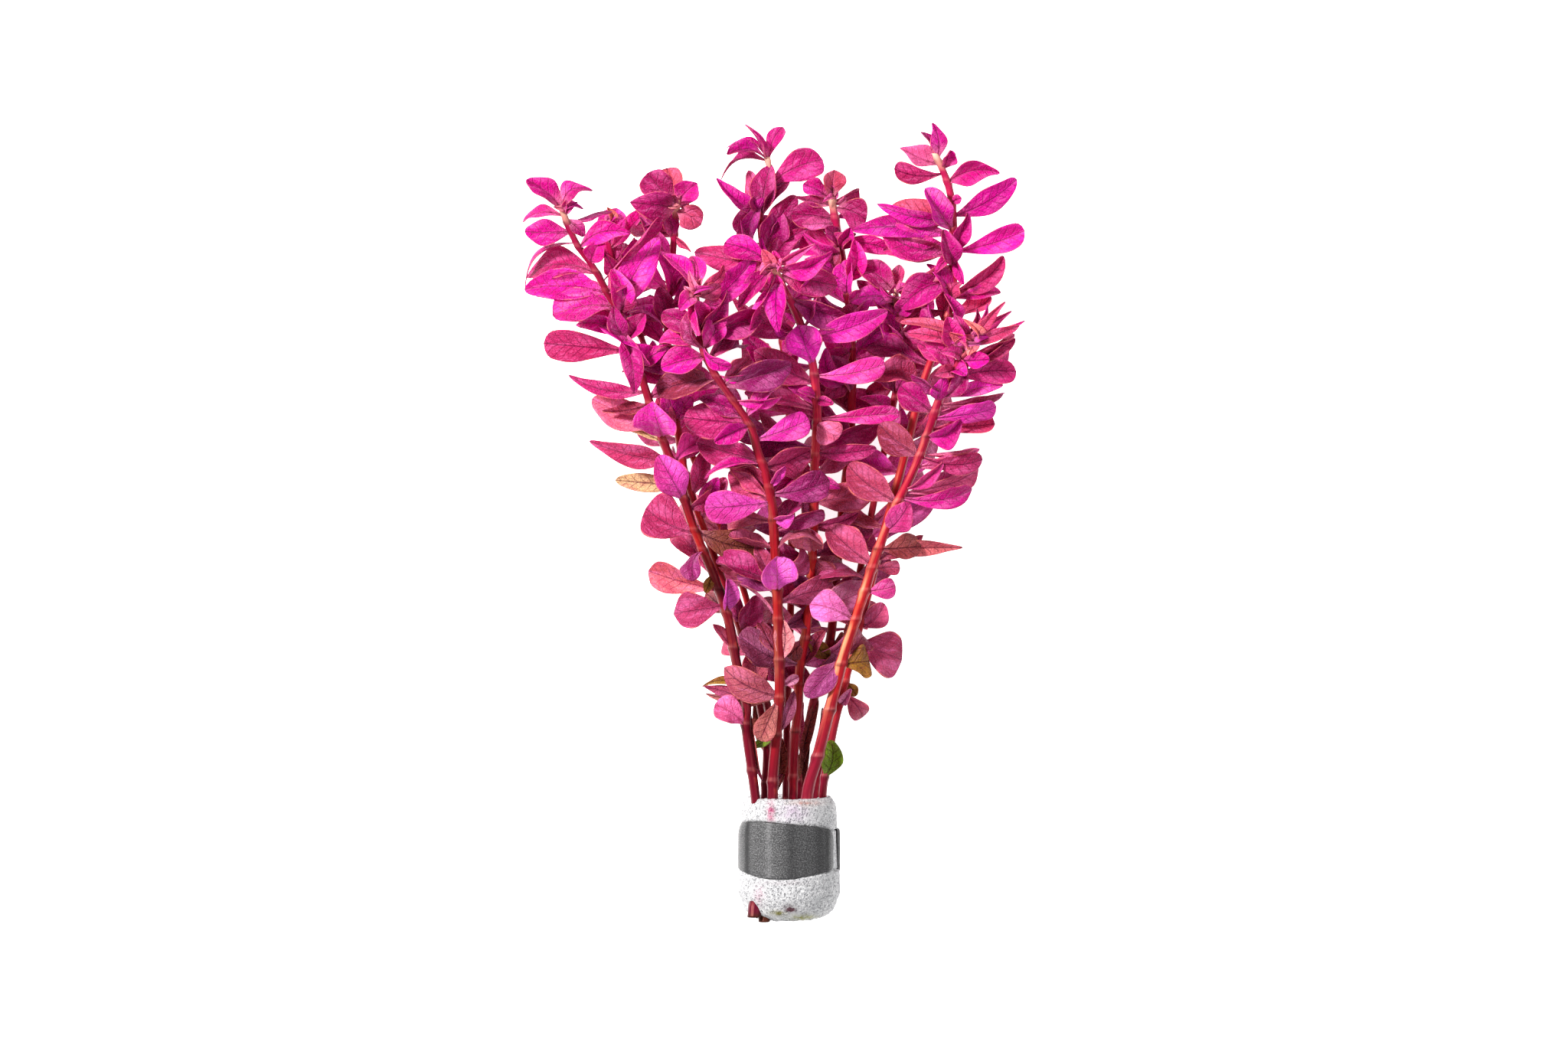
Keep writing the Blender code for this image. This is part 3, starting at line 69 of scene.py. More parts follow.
leafLook = {
    "along": 9, "across": 6, "thick": 0.26, "fold": (0.15, 0.95), "cup": 0.4, "ripple": 0.24,
    "waves": (1.2, 2.4), "roll": 38.0, "twist": 44.0, "droop": (-2.0, 3.2), "arch": (-1.3, 1.9), "bow": 1.4,
    "veinStep": 2.3,
    # how far a leaf of its own, a smaller leaf of the table and a made leaf stray from the plain form
    "stray": (0.45, 0.7, 1.0),
    # the heights over which the colours of old leaves end, those of young ones begin, and the crest darkens
    "low": (70.0, 125.0), "high": (120.0, 180.0), "crest": (182.0, 198.0),
    # below this height made leaves in cool colours often turn rose or crimson
    "cool": 118.0, "turned": 0.65,
    # pale is the colour of the painted sheen and highlights on a leaf
    "margin": (0.88, 0.27, 0.15), "rib": (0.86, 0.18, 0.38), "pale": (0.97, 0.28, 0.66),
    # base is the pale foot of a leaf: partly its own paler base and partly a painted glint where it leaves
    # the stem
    "base": (0.96, 0.46, 0.60), "gloss": (1.0, 0.34, 0.88), "glow": (1.0, 0.006, 0.44),
}

# The leaf solids of the CAD, which keep the places of the leaves.
blade = {"thick": 0.8, "fold": 0.22, "gap": 0.3, "foot": 0.35, "stray": 0.5}
outlines = {
    "round": ((0.0, 0.1), (0.15, 0.2), (0.35, 0.58), (0.6, 0.95), (0.75, 1.0), (0.9, 0.82), (1.0, 0.0)),
    "oval": ((0.0, 0.1), (0.12, 0.32), (0.3, 0.8), (0.5, 1.0), (0.7, 0.88), (0.88, 0.5), (1.0, 0.0)),
    "spear": ((0.0, 0.1), (0.12, 0.36), (0.28, 0.88), (0.42, 1.0), (0.62, 0.72), (0.82, 0.32), (1.0, 0.0)),
}
tipPower = {"round": 0.52, "oval": 0.9, "spear": 1.0}
rowPlaces = {
    "round": ((0.0, 0.36, 0.72, 0.94), (0.0, 0.44, 0.86), (0.0, 0.66)),
    "oval": ((0.0, 0.28, 0.58, 0.86), (0.0, 0.36, 0.74), (0.0, 0.5)),
    "spear": ((0.0, 0.24, 0.5, 0.78), (0.0, 0.3, 0.66), (0.0, 0.4)),
}
corners = (((0, 1), (1, 0), (0, -1), (-1, 0)), ((1, 0), (0, -1), (-1, 0)))

# Leaf colours by the letter in the leaf tables: the record's slot, the upper side, the underside, and the
# colour that old leaves low on the stems turn to.
tints = {
    "m": ("magenta_leaf", (0.70, 0.0, 0.30), (0.52, 0.004, 0.22), (0.62, 0.015, 0.36)),
    "d": ("deep_crimson_leaf", (0.46, 0.0, 0.15), (0.40, 0.006, 0.13), (0.36, 0.020, 0.085)),
    "l": ("lilac_leaf", (0.82, 0.030, 0.49), (0.70, 0.06, 0.42), (0.82, 0.27, 0.64)),
    "p": ("pale_pink_leaf", (0.80, 0.14, 0.33), (0.72, 0.17, 0.31), (0.78, 0.26, 0.34)),
    "t": ("pale_pink_leaf", (0.92, 0.20, 0.21), (0.90, 0.24, 0.25), (0.92, 0.20, 0.21)),
    "r": ("dusky_rose_leaf", (0.53, 0.026, 0.155), (0.48, 0.05, 0.14), (0.51, 0.115, 0.15)),
    "s": ("salmon_leaf", (0.66, 0.08, 0.15), (0.58, 0.10, 0.16), (0.78, 0.25, 0.26)),
    "u": ("mauve_leaf", (0.35, 0.010, 0.14), (0.30, 0.02, 0.12), (0.29, 0.050, 0.15)),
    "b": ("brown_red_leaf", (0.32, 0.032, 0.065), (0.29, 0.045, 0.07), (0.34, 0.06, 0.06)),
    "g": ("green_leaf", (0.17, 0.33, 0.008), (0.20, 0.36, 0.03), (0.17, 0.33, 0.008)),
    "y": ("straw_leaf", (0.80, 0.60, 0.30), (0.78, 0.58, 0.30), (0.80, 0.60, 0.30)),
    "o": ("olive_leaf", (0.34, 0.17, 0.015), (0.34, 0.18, 0.03), (0.34, 0.17, 0.015)),
}

# Each stem: its thickness at the foot and at the tip, how many of its leaves are pieces of their own, and its
# line as (x, y, z).
stemTable = {
    "right_front": {
        "thick": (3.6, 2), "own": 7,
        "line": ((4.2, 1.6, 21.5), (4.6, 20, 22.4), (5.4, 36, 23), (8.2, 45.8, 24.5), (11.2, 57.6, 26.5),
                 (13.8, 67.5, 28.5), (15.1, 72.9, 29.5), (20, 88, 33), (25.2, 103.9, 37), (30.5, 117, 41),
                 (34, 123.7, 43), (37.5, 132, 45.5), (40.3, 140, 48), (42.3, 146, 50), (45.4, 152, 52.5),
                 (49, 158, 55), (52.8, 163.6, 57)),
    },
    "left_front": {
        "thick": (2.6, 1.5), "own": 8,
        "line": ((-9.7, 0.5, 23.6), (-8.8, 12, 21.2), (-8.8, 28, 21), (-9.6, 36.2, 22.4), (-12, 54, 24.5),
                 (-11.9, 60, 25), (-14.8, 72.5, 27), (-16.8, 83.4, 29), (-20.9, 96.1, 31.5),
                 (-26.7, 109.9, 34.5), (-29.6, 119, 36.5), (-31.2, 125.5, 38), (-34, 131, 39.5),
                 (-38.7, 144, 42), (-41.3, 152, 44), (-44.3, 160, 45.5), (-47.8, 170, 47), (-51, 176, 48),
                 (-54.8, 183, 49), (-58.5, 188, 50), (-61.2, 193, 50.5), (-63.8, 199.8, 51)),
    },
    "centre_left": {
        "thick": (3, 1.6), "own": 6,
        "line": ((-0.4, 1.8, 24.6), (-3.2, 15, 23), (-4.5, 36, 22.5), (-3.7, 49, 24), (-2.6, 62.4, 26),
                 (-2.6, 71, 27.5), (-3.2, 91.4, 32), (-4.1, 108.6, 36), (-4.5, 115.3, 38), (-6.5, 125.2, 41),
                 (-8.8, 131.8, 43), (-10.8, 138.5, 45), (-16.3, 146.7, 47.5), (-20.6, 152.9, 49.5),
                 (-24, 160, 51), (-25.2, 167, 52.5), (-26, 173, 54), (-26.4, 177.5, 57)),
    },
    "centre": {
        "thick": (2.6, 1.9), "own": 6,
        "line": ((1, 1.6, 17.5), (1.2, 36, 17), (1.7, 50, 18), (2.6, 59, 19), (3.2, 71, 20.5),
                 (4.9, 80.6, 22), (5.8, 92, 24), (6.5, 100.2, 25.5), (7.1, 112, 27.5), (7.3, 126.9, 30.5),
                 (7.7, 135.1, 32), (8, 143.2, 33.5), (7.2, 153, 35.5), (5.5, 161, 37), (3, 168, 38.5),
                 (0.3, 174, 40.5), (-2.3, 179, 43.5), (-4.3, 183.6, 47)),
    },
    "right_tall": {
        "thick": (2, 1.5), "own": 7,
        "line": ((8.8, 1.6, 16), (9.7, 36, 16.2), (12.3, 51.6, 17.5), (14.2, 60, 18.5), (19.1, 79, 20.5),
                 (26.5, 107.5, 24), (32.3, 129, 27), (37.8, 150.5, 30), (45.6, 173, 33), (46.3, 185, 34),
                 (46.3, 193, 34.5), (46, 200, 35), (44.9, 206, 35), (43, 211, 35.5), (41, 215, 36)),
    },
    "left_back": {
        "thick": (1.8, 1.4), "own": 4,
        "line": ((-6.9, -0.8, 22.3), (-6.6, 12, 18.6), (-6.8, 36, 19.2), (-6.3, 48, 19.5), (-8.5, 62, 20),
                 (-11.8, 76, 20.5), (-17.5, 92, 22.5), (-22, 105, 24), (-25.8, 115, 25.5), (-29.3, 126, 27),
                 (-30.8, 135, 28), (-32, 143, 29), (-33.6, 155, 30.5), (-34, 168, 32), (-33.2, 180, 34),
                 (-32.3, 190, 36), (-31.6, 198, 39.5), (-31.5, 202, 43)),
    },
    "top_back": {
        "thick": (2, 1.3), "own": 3,
        "line": ((-0.6, 1.2, 10), (-0.8, 36, 10.5), (-0.3, 60, 10.5), (0.8, 100, 10.5), (0.2, 140, 11.5),
                 (-2.2, 165, 13), (-6, 182, 15.5), (-8, 194, 17), (-7, 203, 18), (-5.4, 209, 19),
                 (-6, 214, 20)),
    },
    "centre_right": {
        "thick": (2.1, 1.5), "own": 3,
        "line": ((3.2, 1.6, 11.5), (3.1, 36, 12), (6.5, 59, 12.5), (11.6, 78, 14), (13.5, 98, 15.5),
                 (15.3, 117, 17), (17.4, 136, 19), (17.8, 150, 20.5), (17.8, 161, 22), (17, 172, 23),
                 (15, 186, 24), (13, 197, 25), (12, 203, 26)),
    },
    "right_middle": {
        "thick": (1.9, 1.4), "own": 2,
        "line": ((6.6, 1.4, 10.8), (7.7, 36, 11.5), (12, 60, 12), (17.5, 85, 12.5), (21.5, 105, 13),
                 (25.5, 125, 14.5), (29.5, 145, 17.5), (31, 160, 21), (30.5, 170, 24), (30, 177, 28)),
    },
    "left_middle": {
        "thick": (1.8, 1.4), "own": 2,
        "line": ((-4.4, 1.4, 12.4), (-4.2, 36, 12.5), (-6, 60, 12), (-12.5, 92, 13), (-27, 130, 15),
                 (-40, 160, 17.5), (-47.5, 178, 20), (-50.5, 190, 22), (-51, 197, 23.5)),
    },
}

# The leaves of each stem: height on the stem, tip x, tip y, rise of the tip, width, turn, arch upwards, arch
# to the left, outline and colour.
leafTable = {
    "right_front": (
        (84, 6.2, 88.6, 2, 9.4, 0, 1.5, -0.5, "round", "l"),
        (72.5, 4.3, 62.3, -3, 8, 5, 1, 0.8, "oval", "u"),
        (71.5, 22.8, 72.5, -3, 9.6, 0, 1, 0, "round", "o"),
        (92, 30.2, 93.6, 0, 6, 5, 1, 0, "round", "m"),
        (98.5, 31.2, 98.6, -3, 4.4, 10, 0.5, 0, "round", "r"),
        (104, 37.2, 105, 1, 7.4, 0, 1, -0.5, "round", "b"),
        (104, 49.5, 104.4, -5, 5.4, 10, 0.5, 0.5, "spear", "s"),
        (109, 34.2, 117.2, 5, 8, -10, 1.2, -1, "oval", "m"),
        (99.5, 10.8, 110.6, -4, 9.6, 0, 1, 0.5, "oval", "r"),
        (118.5, 51.6, 120.3, 2, 6, 10, 1.2, -0.8, "round", "m"),
        (119.8, 53.8, 126, -2, 6.4, 15, 1, -0.8, "round", "p"),
        (121, 43.6, 129.2, 5, 4, 35, 1, 0, "oval", "m"),
        (117, 16.2, 128, -5, 9.8, 0, 1, 0.8, "oval", "r"),
        (130, 55, 129.3, 3, 6.4, 15, 1.2, -0.8, "round", "r"),
        (130.5, 52.5, 132.2, -3, 4, 20, 0.5, 0, "round", "p"),
        (130, 25, 139.5, -5, 9, 0, 1, 0.5, "oval", "b"),
        (135.5, 48.6, 139.6, 5, 6.2, 0, 1.2, -0.6, "oval", "m"),
        (137.5, 57.3, 138.5, -3, 5, 10, 0.5, 0.5, "round", "s"),
        (140.5, 58.4, 143, 2, 5.6, 10, 1, -0.4, "round", "l"),
        (144.5, 60.8, 147, 0, 4, 40, 0.5, 0.3, "oval", "b"),
        (146.5, 60.8, 150, 3, 4.6, 20, 0.5, -0.4, "oval", "l"),
        (145.5, 44.2, 151.6, 6, 5.4, 0, 1, 0.8, "oval", "m"),
        (142, 31, 150, -4, 8, 0, 1, 0, "oval", "d"),
        (152, 64, 154, 1, 6.4, 10, 1.5, 1.2, "round", "r"),
        (156, 62.3, 161.2, -1, 6, 20, 1, -1, "round", "d"),
        (157, 57.2, 157, 6, 4.4, 10, 0.8, 0, "oval", "m"),
        (154, 50.5, 151.8, 5, 4.6, 0, 0.8, 0, "oval", "m"),
        (154, 42.2, 153.5, 5, 4.4, 0, 0.8, 0, "oval", "r"),
        (157.5, 43.8, 159.5, 5, 4.2, 0, 0.8, 0, "oval", "m"),
        (161, 48, 163.5, 4, 4.2, 0, 0.6, 0, "oval", "s"),
        (160, 33, 164.4, -1, 4.4, 30, 1, -0.6, "oval", "s"),
        (162, 30.8, 167.8, -3, 4.6, 30, 1, -0.6, "oval", "s"),
        (156, 36, 162.6, -4, 6, 0, 0.8, 0, "oval", "r"),
        (162.5, 56.9, 172.3, 2, 3.4, 30, 0.5, 0.8, "spear", "m"),
        (162.5, 60.8, 173.6, -3, 3.4, 20, 0.5, 0, "spear", "s"),
        (162, 63.2, 171, -4, 3.2, 0, 0.5, 0, "spear", "r"),
        (161.5, 64.5, 166, 0, 3.2, 20, 0.5, 0.6, "oval", "s"),
        (163, 51, 166.2, 1, 3, 0, 0.5, 0, "oval", "r"),
    ),
    "left_front": (
        (159.5, -69, 161, -2, 9.3, 0, 0.5, 0, "round", "r"),
        (170.5, -36.5, 191.5, 4, 9.8, -10, 1.5, 0.5, "oval", "l"),
        (108.5, -41.2, 115.5, 1, 12.6, 0, 1.2, 1, "round", "r"),
        (118, -36.8, 130.6, 5, 9.2, 15, 1.5, 1, "oval", "l"),
        (181.5, -74, 181, -2, 8.2, 15, 1, -3.5, "oval", "d"),
        (176, -74.5, 177.5, 2, 8, 10, 1, -1.5, "oval", "l"),
        (172, -66, 170, 5, 9.6, 15, 1.5, -1, "round", "l"),
        (193, -74.4, 192, 0, 6.8, 5, 1, 0, "oval", "m"),
        (199.5, -72.6, 208.4, 2, 5.6, 15, 0.5, -0.8, "oval", "m"),
        (199.5, -55.6, 204.3, 2, 5.8, -15, 1, 1.5, "spear", "m"),
        (197.5, -74.6, 194.8, -3, 4.6, 20, 1.5, -2.2, "oval", "m"),
        (188.5, -45.2, 193.4, 5, 6.4, -10, 1.5, 0.8, "oval", "m"),
        (179, -36, 198.5, 9, 4.5, 70, 1.5, 0.8, "round", "d"),
        (152.5, -51.8, 167.5, 6, 7, 35, 1, -0.5, "round", "m"),
        (148, -62.5, 153, 1, 5.6, 30, 0.5, 0.5, "spear", "r"),
        (138, -55.4, 146.5, -4, 9, 10, 0.5, 1, "oval", "p"),
        (144.5, -52.8, 142.8, 1, 4.6, 25, 0.5, 0.5, "spear", "b"),
        (135.5, -38.6, 143.4, 12, 11.5, 0, 1, 0, "round", "l"),
        (134, -47.8, 138.5, -3, 4, 40, 0, -0.5, "spear", "y"),
        (128.5, -56.6, 134.5, 2, 7.6, 0, 1.2, 0.8, "spear", "r"),
        (121.5, -49, 123.2, -3, 5.6, 5, 0.5, 0, "oval", "y"),
        (109, -6, 104.5, -8, 8.6, 10, 1, -1.5, "oval", "b"),
        (103.5, -26.5, 94.5, 7, 6.5, 20, 1, -1, "round", "u"),
        (92.5, -39.4, 97.2, -2, 7.6, 5, 0.5, 0, "round", "s"),
        (88, -32.4, 87.2, 3, 10, 0, 1, 0, "round", "r"),
        (97, -23.4, 91.5, 1, 3, 0, 0, 0, "oval", "o"),
        (86, -16.5, 95.5, 6, 5, 10, 0.5, 0, "oval", "l"),
        (76, -20.6, 83, 2, 3.6, 20, 0, 0, "oval", "r"),
        (66, -24.6, 65.3, -2, 3.2, 40, 0.5, -1, "spear", "o"),
        (54.5, -20.8, 60.5, 4, 8.2, 10, 1, 0, "round", "p"),
        (190, -75, 178.2, -6, 4.4, 70, 1, -2.6, "spear", "d"),
        (196.5, -57.4, 191.6, -1, 4, -20, 0.3, 0, "oval", "d"),
        (195.5, -50.2, 200.6, -5, 4, 70, 0.8, -0.8, "oval", "m"),
        (198, -60.8, 200.5, 4, 2.4, 0, 0, 0, "oval", "m"),
        (170, -71.5, 175, -6, 5, 50, 0, 0, "spear", "p"),
    ),
    "centre_left": (
        (92.5, -3.3, 101.8, 11, 10, 0, 1, 0, "round", "l"),
        (117, -24.3, 115.5, 4, 9.5, 0, 1.5, 0, "round", "l"),
        (62.5, -18.3, 70, 2, 9.5, 5, 1.5, 1.5, "oval", "r"),
        (62, -8.2, 49.8, 3, 6.4, 0, 0.5, 0, "round", "r"),
        (139, -30, 141, -4, 11, 0, 1, 0, "oval", "r"),
        (158, -36.2, 154.8, 1, 8.5, 5, 1, 0.5, "oval", "m"),
        (161, -36.6, 163.2, -1, 8, 10, 1, -0.5, "oval", "m"),
        (152, -37.2, 148.2, -6, 9, 10, 1, 0, "oval", "b"),
        (92.5, -14.5, 97.5, -3, 8, 0, 1, 0, "oval", "u"),
        (84, -17.6, 95.5, 3, 4, 55, 0.8, 0, "oval", "p"),
        (72.5, -1.8, 84.6, 3, 6, 0, 1, -0.6, "oval", "p"),
        (177, -35.7, 186.6, -2, 5.6, 20, 1, -0.8, "oval", "m"),
        (176.5, -27.9, 187, -4, 5.2, 0, 0.8, -1.5, "oval", "m"),
        (176, -17.2, 183.2, -3, 4, 30, 0.5, 0, "oval", "s"),
        (175, -19, 178, -2, 4.5, 10, 0.5, 0, "oval", "r"),
        (175, -31, 170.5, 3, 5, 0, 1, 0, "oval", "m"),
        (175.5, -24, 163.5, 4, 3.6, 45, 0.5, 0, "round", "m"),
        (172, -16.8, 170, 1, 5.5, 10, 0.5, 0.8, "oval", "l"),
        (161.5, -15.6, 155, 3, 3.6, 40, 1, -0.5, "round", "m"),
        (153, -10.6, 152.8, 0, 3.4, 50, 0.5, -0.8, "round", "m"),
        (145.5, -1.5, 146.3, 0, 4, 60, 1, 0.8, "oval", "m"),
        (138.5, -21.5, 134, 3, 5.5, 0, 0.5, 0, "oval", "m"),
        (128.5, -26, 134, -6, 9, 0, 1, 0, "oval", "r"),
        (128, -24, 125.5, 1, 3.5, 50, 0.5, 0, "oval", "m"),
        (116.5, -17.5, 125.5, -3, 8, 0, 1, 0, "oval", "r"),
        (112, 1.5, 113.6, 5, 4.5, 20, 1, 0.5, "oval", "l"),
        (121, -1, 127.6, 4, 3.2, 20, 0.5, 0, "oval", "l"),
        (62.3, -24.4, 62.2, -2, 5, 20, 0.5, -0.5, "spear", "r"),
        (52, 1.8, 64, 0, 3.8, 10, 0.5, 0, "oval", "u"),
        (65.5, 2.8, 68.2, -4, 3, 0, 0.3, 0, "oval", "l"),
        (51.5, -9.8, 48.3, -5, 3, 0, 0, 0, "oval", "g"),
    ),
    "centre": (
        (156, 2.8, 165.8, 9, 10.5, 0, 1.5, 0, "round", "l"),
        (163, 28.4, 171.3, 2, 7.6, 10, 1.2, -1, "oval", "l"),
        (152.5, 27.8, 156, 3, 7, 10, 1.2, -0.8, "round", "l"),
        (183, -27, 187.5, -4, 7.6, 5, 1.2, 0.6, "oval", "r"),
        (140.5, 31.8, 142.2, 2, 5.2, 10, 1, -0.6, "round", "m"),
        (180.5, 14.2, 177.5, -3, 9, 5, 1, 0.5, "oval", "d"),
        (103, 4.6, 110.2, 8, 9.5, 0, 1, 0, "round", "p"),
        (150.5, -10, 160, -3, 9, 0, 1, 0.8, "oval", "r"),
        (183.5, -18.5, 189.8, 1, 7, 5, 1, -0.8, "round", "m"),
        (182.5, 12.8, 188, 2, 6.6, 15, 1.5, -1, "spear", "m"),
        (183.5, 8, 190.2, 5, 3.2, 50, 1, 0.5, "spear", "p"),
        (183, -14.2, 172.5, 3, 5.6, 25, 1, 0.8, "oval", "d"),
        (181.5, -12.7, 163.4, 8, 4.2, 35, 1.5, 1.5, "round", "m"),
        (179.5, -3.5, 165.5, 9, 7, 0, 1.5, 0, "oval", "m"),
        (174, 18, 168.8, -2, 7.5, 10, 1, -0.5, "oval", "u"),
        (146.5, 2.6, 148.8, 4, 3.2, 20, 0.5, 0, "oval", "m"),
        (145.8, 13.2, 144.4, 3, 3, 10, 0.5, 0, "oval", "m"),
        (139.5, 14.8, 134.5, 4, 8, 0, 1, 0, "round", "p"),
        (131, 25.2, 132.5, 3, 5.4, 15, 1, -0.4, "oval", "r"),
        (130, -3.6, 118.2, 5, 3.6, 50, 1, 0, "oval", "m"),
        (121.5, 14.4, 120.8, 4, 4, 10, 1.5, 1.5, "oval", "m"),
        (104, 4.6, 121, 3, 4.5, 20, 1, 1, "oval", "u"),
        (111, 19.8, 114.6, 0, 4.2, 20, 0.8, -0.4, "oval", "r"),
        (101, 12.5, 94.6, -2, 6, 0, 1, 0, "oval", "b"),
        (78.5, -1.6, 72.5, -3, 6, 0, 1, 0, "oval", "b"),
        (78.5, 11.8, 73.5, -3, 5, 0, 1, 0, "oval", "o"),
    ),
    "right_tall": (
        (77.5, 32.6, 74.5, 0, 13, 0, 1.5, 0, "round", "r"),
        (188.5, 25.2, 196.8, 2, 8.6, 15, 1, 2.6, "oval", "m"),
        (195.5, 27.5, 196.6, -3, 8.4, 5, 1, 0.5, "oval", "s"),
        (179, 31.3, 171.5, -1, 9.4, 10, 1.5, -1.2, "oval", "d"),
        (187.5, 66.3, 192.5, 1, 6.6, 5, 1.2, -1, "round", "l"),
        (197.5, 64.4, 207.6, 2, 6.8, 5, 1.2, -1.6, "oval", "m"),
        (193.5, 38.6, 205.8, 5, 6.8, -5, 1.2, 1, "oval", "l"),
        (207, 59.6, 208.9, 1, 6, 5, 1, 1.6, "spear", "m"),
        (176, 60.8, 186.5, 1, 6.6, 15, 1, -1.8, "oval", "r"),
        (39.9, 11.9, 50.8, 3, 6.4, 0, 0.8, -1.2, "oval", "g"),
        (209.5, 29.3, 210.4, 0, 5.2, 15, 1, 1.5, "round", "r"),
        (213.5, 40.3, 223.9, 0, 5.2, 0, 0.5, -0.6, "spear", "m"),
        (213, 37.6, 221.3, -2, 4, 15, 0.5, 0.5, "oval", "d"),
        (210.5, 44.9, 216.5, 2, 4, 0, 0.5, 0, "oval", "m"),
        (212, 31.2, 217.2, -2, 5, 20, 1, 1.5, "spear", "p"),
        (201, 49.4, 202.6, 4, 3, 0, 0.3, 0, "round", "m"),
        (186.5, 50.4, 178.3, 3, 3.6, 35, 1, 0.8, "oval", "m"),
        (174.5, 60, 176.5, -3, 4, 10, 0.5, 0, "oval", "m"),
        (169, 57.2, 173.5, -2, 7, 0, 1, 0, "round", "s"),
        (183.5, 36.6, 179, 0, 4, 0, 0.5, 0, "oval", "p"),
        (187.5, 41, 181, 3, 2.8, 30, 0.5, 0, "oval", "m"),
        (82, 26.9, 88.6, -2, 7, 0, 1, -0.8, "oval", "r"),
        (63.5, 20.8, 56.2, -1, 6, 0, 0.5, 0.5, "round", "r"),
        (60.5, 17, 64.4, 6, 3, 0, 0.3, 0, "oval", "l"),
        (66.5, 19, 63, -2, 3.6, 0, 0.3, 0, "oval", "o"),
    ),
    "left_back": (
        (200.5, -39.6, 210, 4, 8.2, 0, 1, 0, "round", "m"),
        (198.5, -34.5, 211.4, -3, 8, 0, 0.5, 0, "round", "s"),
        (200, -42.4, 201.5, 5, 8, 20, 1, -1, "oval", "d"),
        (200.5, -26.6, 207, 4, 7, 0, 1, 0, "round", "m"),
        (199, -25.8, 194.8, 3, 5.5, 0, 1, 0, "round", "s"),
        (196, -41, 194.8, -2, 5, 20, 0.5, 0, "oval", "d"),
        (64, -9.5, 77, 1, 8, 0, 1, 0, "oval", "r"),
        (80, -8.5, 91, 1, 7, 0, 1, 0, "oval", "d"),
        (119, -23.2, 132.5, 2, 5.5, 10, 0.5, 0, "oval", "r"),
        (116, -19.5, 124.5, 3, 5, 10, 0.5, 0, "oval", "m"),
        (129, -24.3, 138, 3, 4, 20, 0.5, 0, "oval", "d"),
        (131.5, -26.6, 139.4, -3, 4.4, 0, 0.5, 0, "oval", "p"),
        (192, -26.5, 187.8, 2, 2.4, 50, 0.5, -0.5, "spear", "s"),
        (184, -28.4, 180, 1, 3, 40, 0.5, 0, "spear", "b"),
        (168, -45, 173, -3, 8, 10, 1, 0, "oval", "d"),
        (167, -36.6, 178, 3, 6, 20, 1, 0.5, "oval", "u"),
        (200.5, -30, 203.5, 6, 3.2, 0, 0.3, 0, "oval", "s"),
        (150, -25, 158, -2, 8, 0, 1, 0, "oval", "d"),
    ),
    "top_back": (
        (206, 10, 212.6, 1, 8, 0, 1.2, 0.3, "round", "m"),
        (197.5, -5.5, 212, 4, 8, 0, 1, 0, "oval", "r"),
        (188, -2.5, 199, -1, 9, 0, 1, 0, "oval", "d"),
        (197, -20.7, 208.2, -2, 5.6, 10, 0.5, 0.6, "spear", "m"),
        (206, -15, 192.8, 3, 5, 20, 1, 0.5, "round", "d"),
        (196, -10.6, 210.2, -3, 5, 0, 0.5, 0, "oval", "p"),
        (197, 0.4, 208, -2, 6, 0, 0.5, 0, "oval", "r"),
        (201, -11, 190.2, 4, 5, 0, 1, 0, "oval", "m"),
        (213, -11.8, 223.9, 3, 4, 45, 1, 1.2, "spear", "m"),
        (213, -1.8, 222.6, 1, 4.6, 0, 0.5, 0, "round", "m"),
        (213, -19.6, 209.3, -2, 5, 35, 1, -1, "spear", "d"),
        (213.3, -18, 214.2, 2, 4.4, 40, 0.5, 0, "round", "m"),
        (213.5, -16.2, 219.1, 2, 2.8, 50, 0.4, 0, "oval", "m"),
    ),
    "centre_right": (
        (199.5, 22.2, 196.2, 3, 8.8, 0, 1.5, 0.8, "round", "d"),
        (175, 18.6, 185.6, 5, 7.4, 0, 1, 0.8, "oval", "l"),
        (202, 13.2, 210.2, 2, 6.4, 0, 1, 0, "round", "s"),
        (190.5, 30.4, 184.8, 2, 5.4, 10, 1, 1, "oval", "m"),
        (190, 11, 182.6, 1, 6.4, 0, 1, 0, "round", "b"),
        (202, 4.3, 206.6, 1, 5.4, 0, 1, 0, "round", "m"),
        (201.5, 19.4, 205.4, 0, 4.8, 20, 0.5, 0, "round", "r"),
        (200.5, 1.4, 202.8, 0, 4, 30, 0.5, 0, "spear", "r"),
        (195, 3.2, 194.4, 2, 4.4, 20, 0.8, 0, "oval", "p"),
        (197, 22, 199.2, -4, 3, 0, 0.3, 0, "oval", "m"),
        (196.5, 0.5, 198, -4, 8, 0, 1, 0, "oval", "d"),
        (160, 8.6, 156, 1, 7, 0, 1, 0, "oval", "d"),
        (151, 10, 146.4, 1, 5.6, 0, 0.5, 0, "oval", "r"),
        (129, 26, 119, 1, 7, 0, 1, 0, "oval", "r"),
    ),
    "right_middle": (
        (176, 19, 184.2, 0, 7.6, 10, 1, -1, "oval", "d"),
        (173.5, 17, 173.4, 1, 6.4, 10, 1, -1.5, "oval", "l"),
        (165, 39.9, 156.4, 1, 7, 0, 1, 0, "oval", "r"),
        (176.5, 36.2, 178.4, 1, 4.2, 30, 0.5, 0, "spear", "s"),
        (176, 31.8, 184.6, 2, 4, 0, 0.5, 0, "oval", "r"),
        (163.5, 19, 160.6, 0, 5, 0, 0.5, 0, "oval", "p"),
        (151.5, 21.6, 147.4, -2, 5.4, 0, 0.5, 0, "oval", "r"),
        (146, 22, 143.5, 0, 4, 0, 0.5, 0, "oval", "b"),
    ),
    "left_middle": (
        (189, -49.3, 199.4, 3, 8, 5, 0.5, 0, "round", "m"),
        (176, -43, 191.5, 4, 7, 10, 0.5, 0, "oval", "m"),
        (184, -53.8, 191, 1, 5, 30, 0.5, 0, "oval", "d"),
        (180, -45.6, 190, 0, 6, 20, 0.5, 0, "oval", "d"),
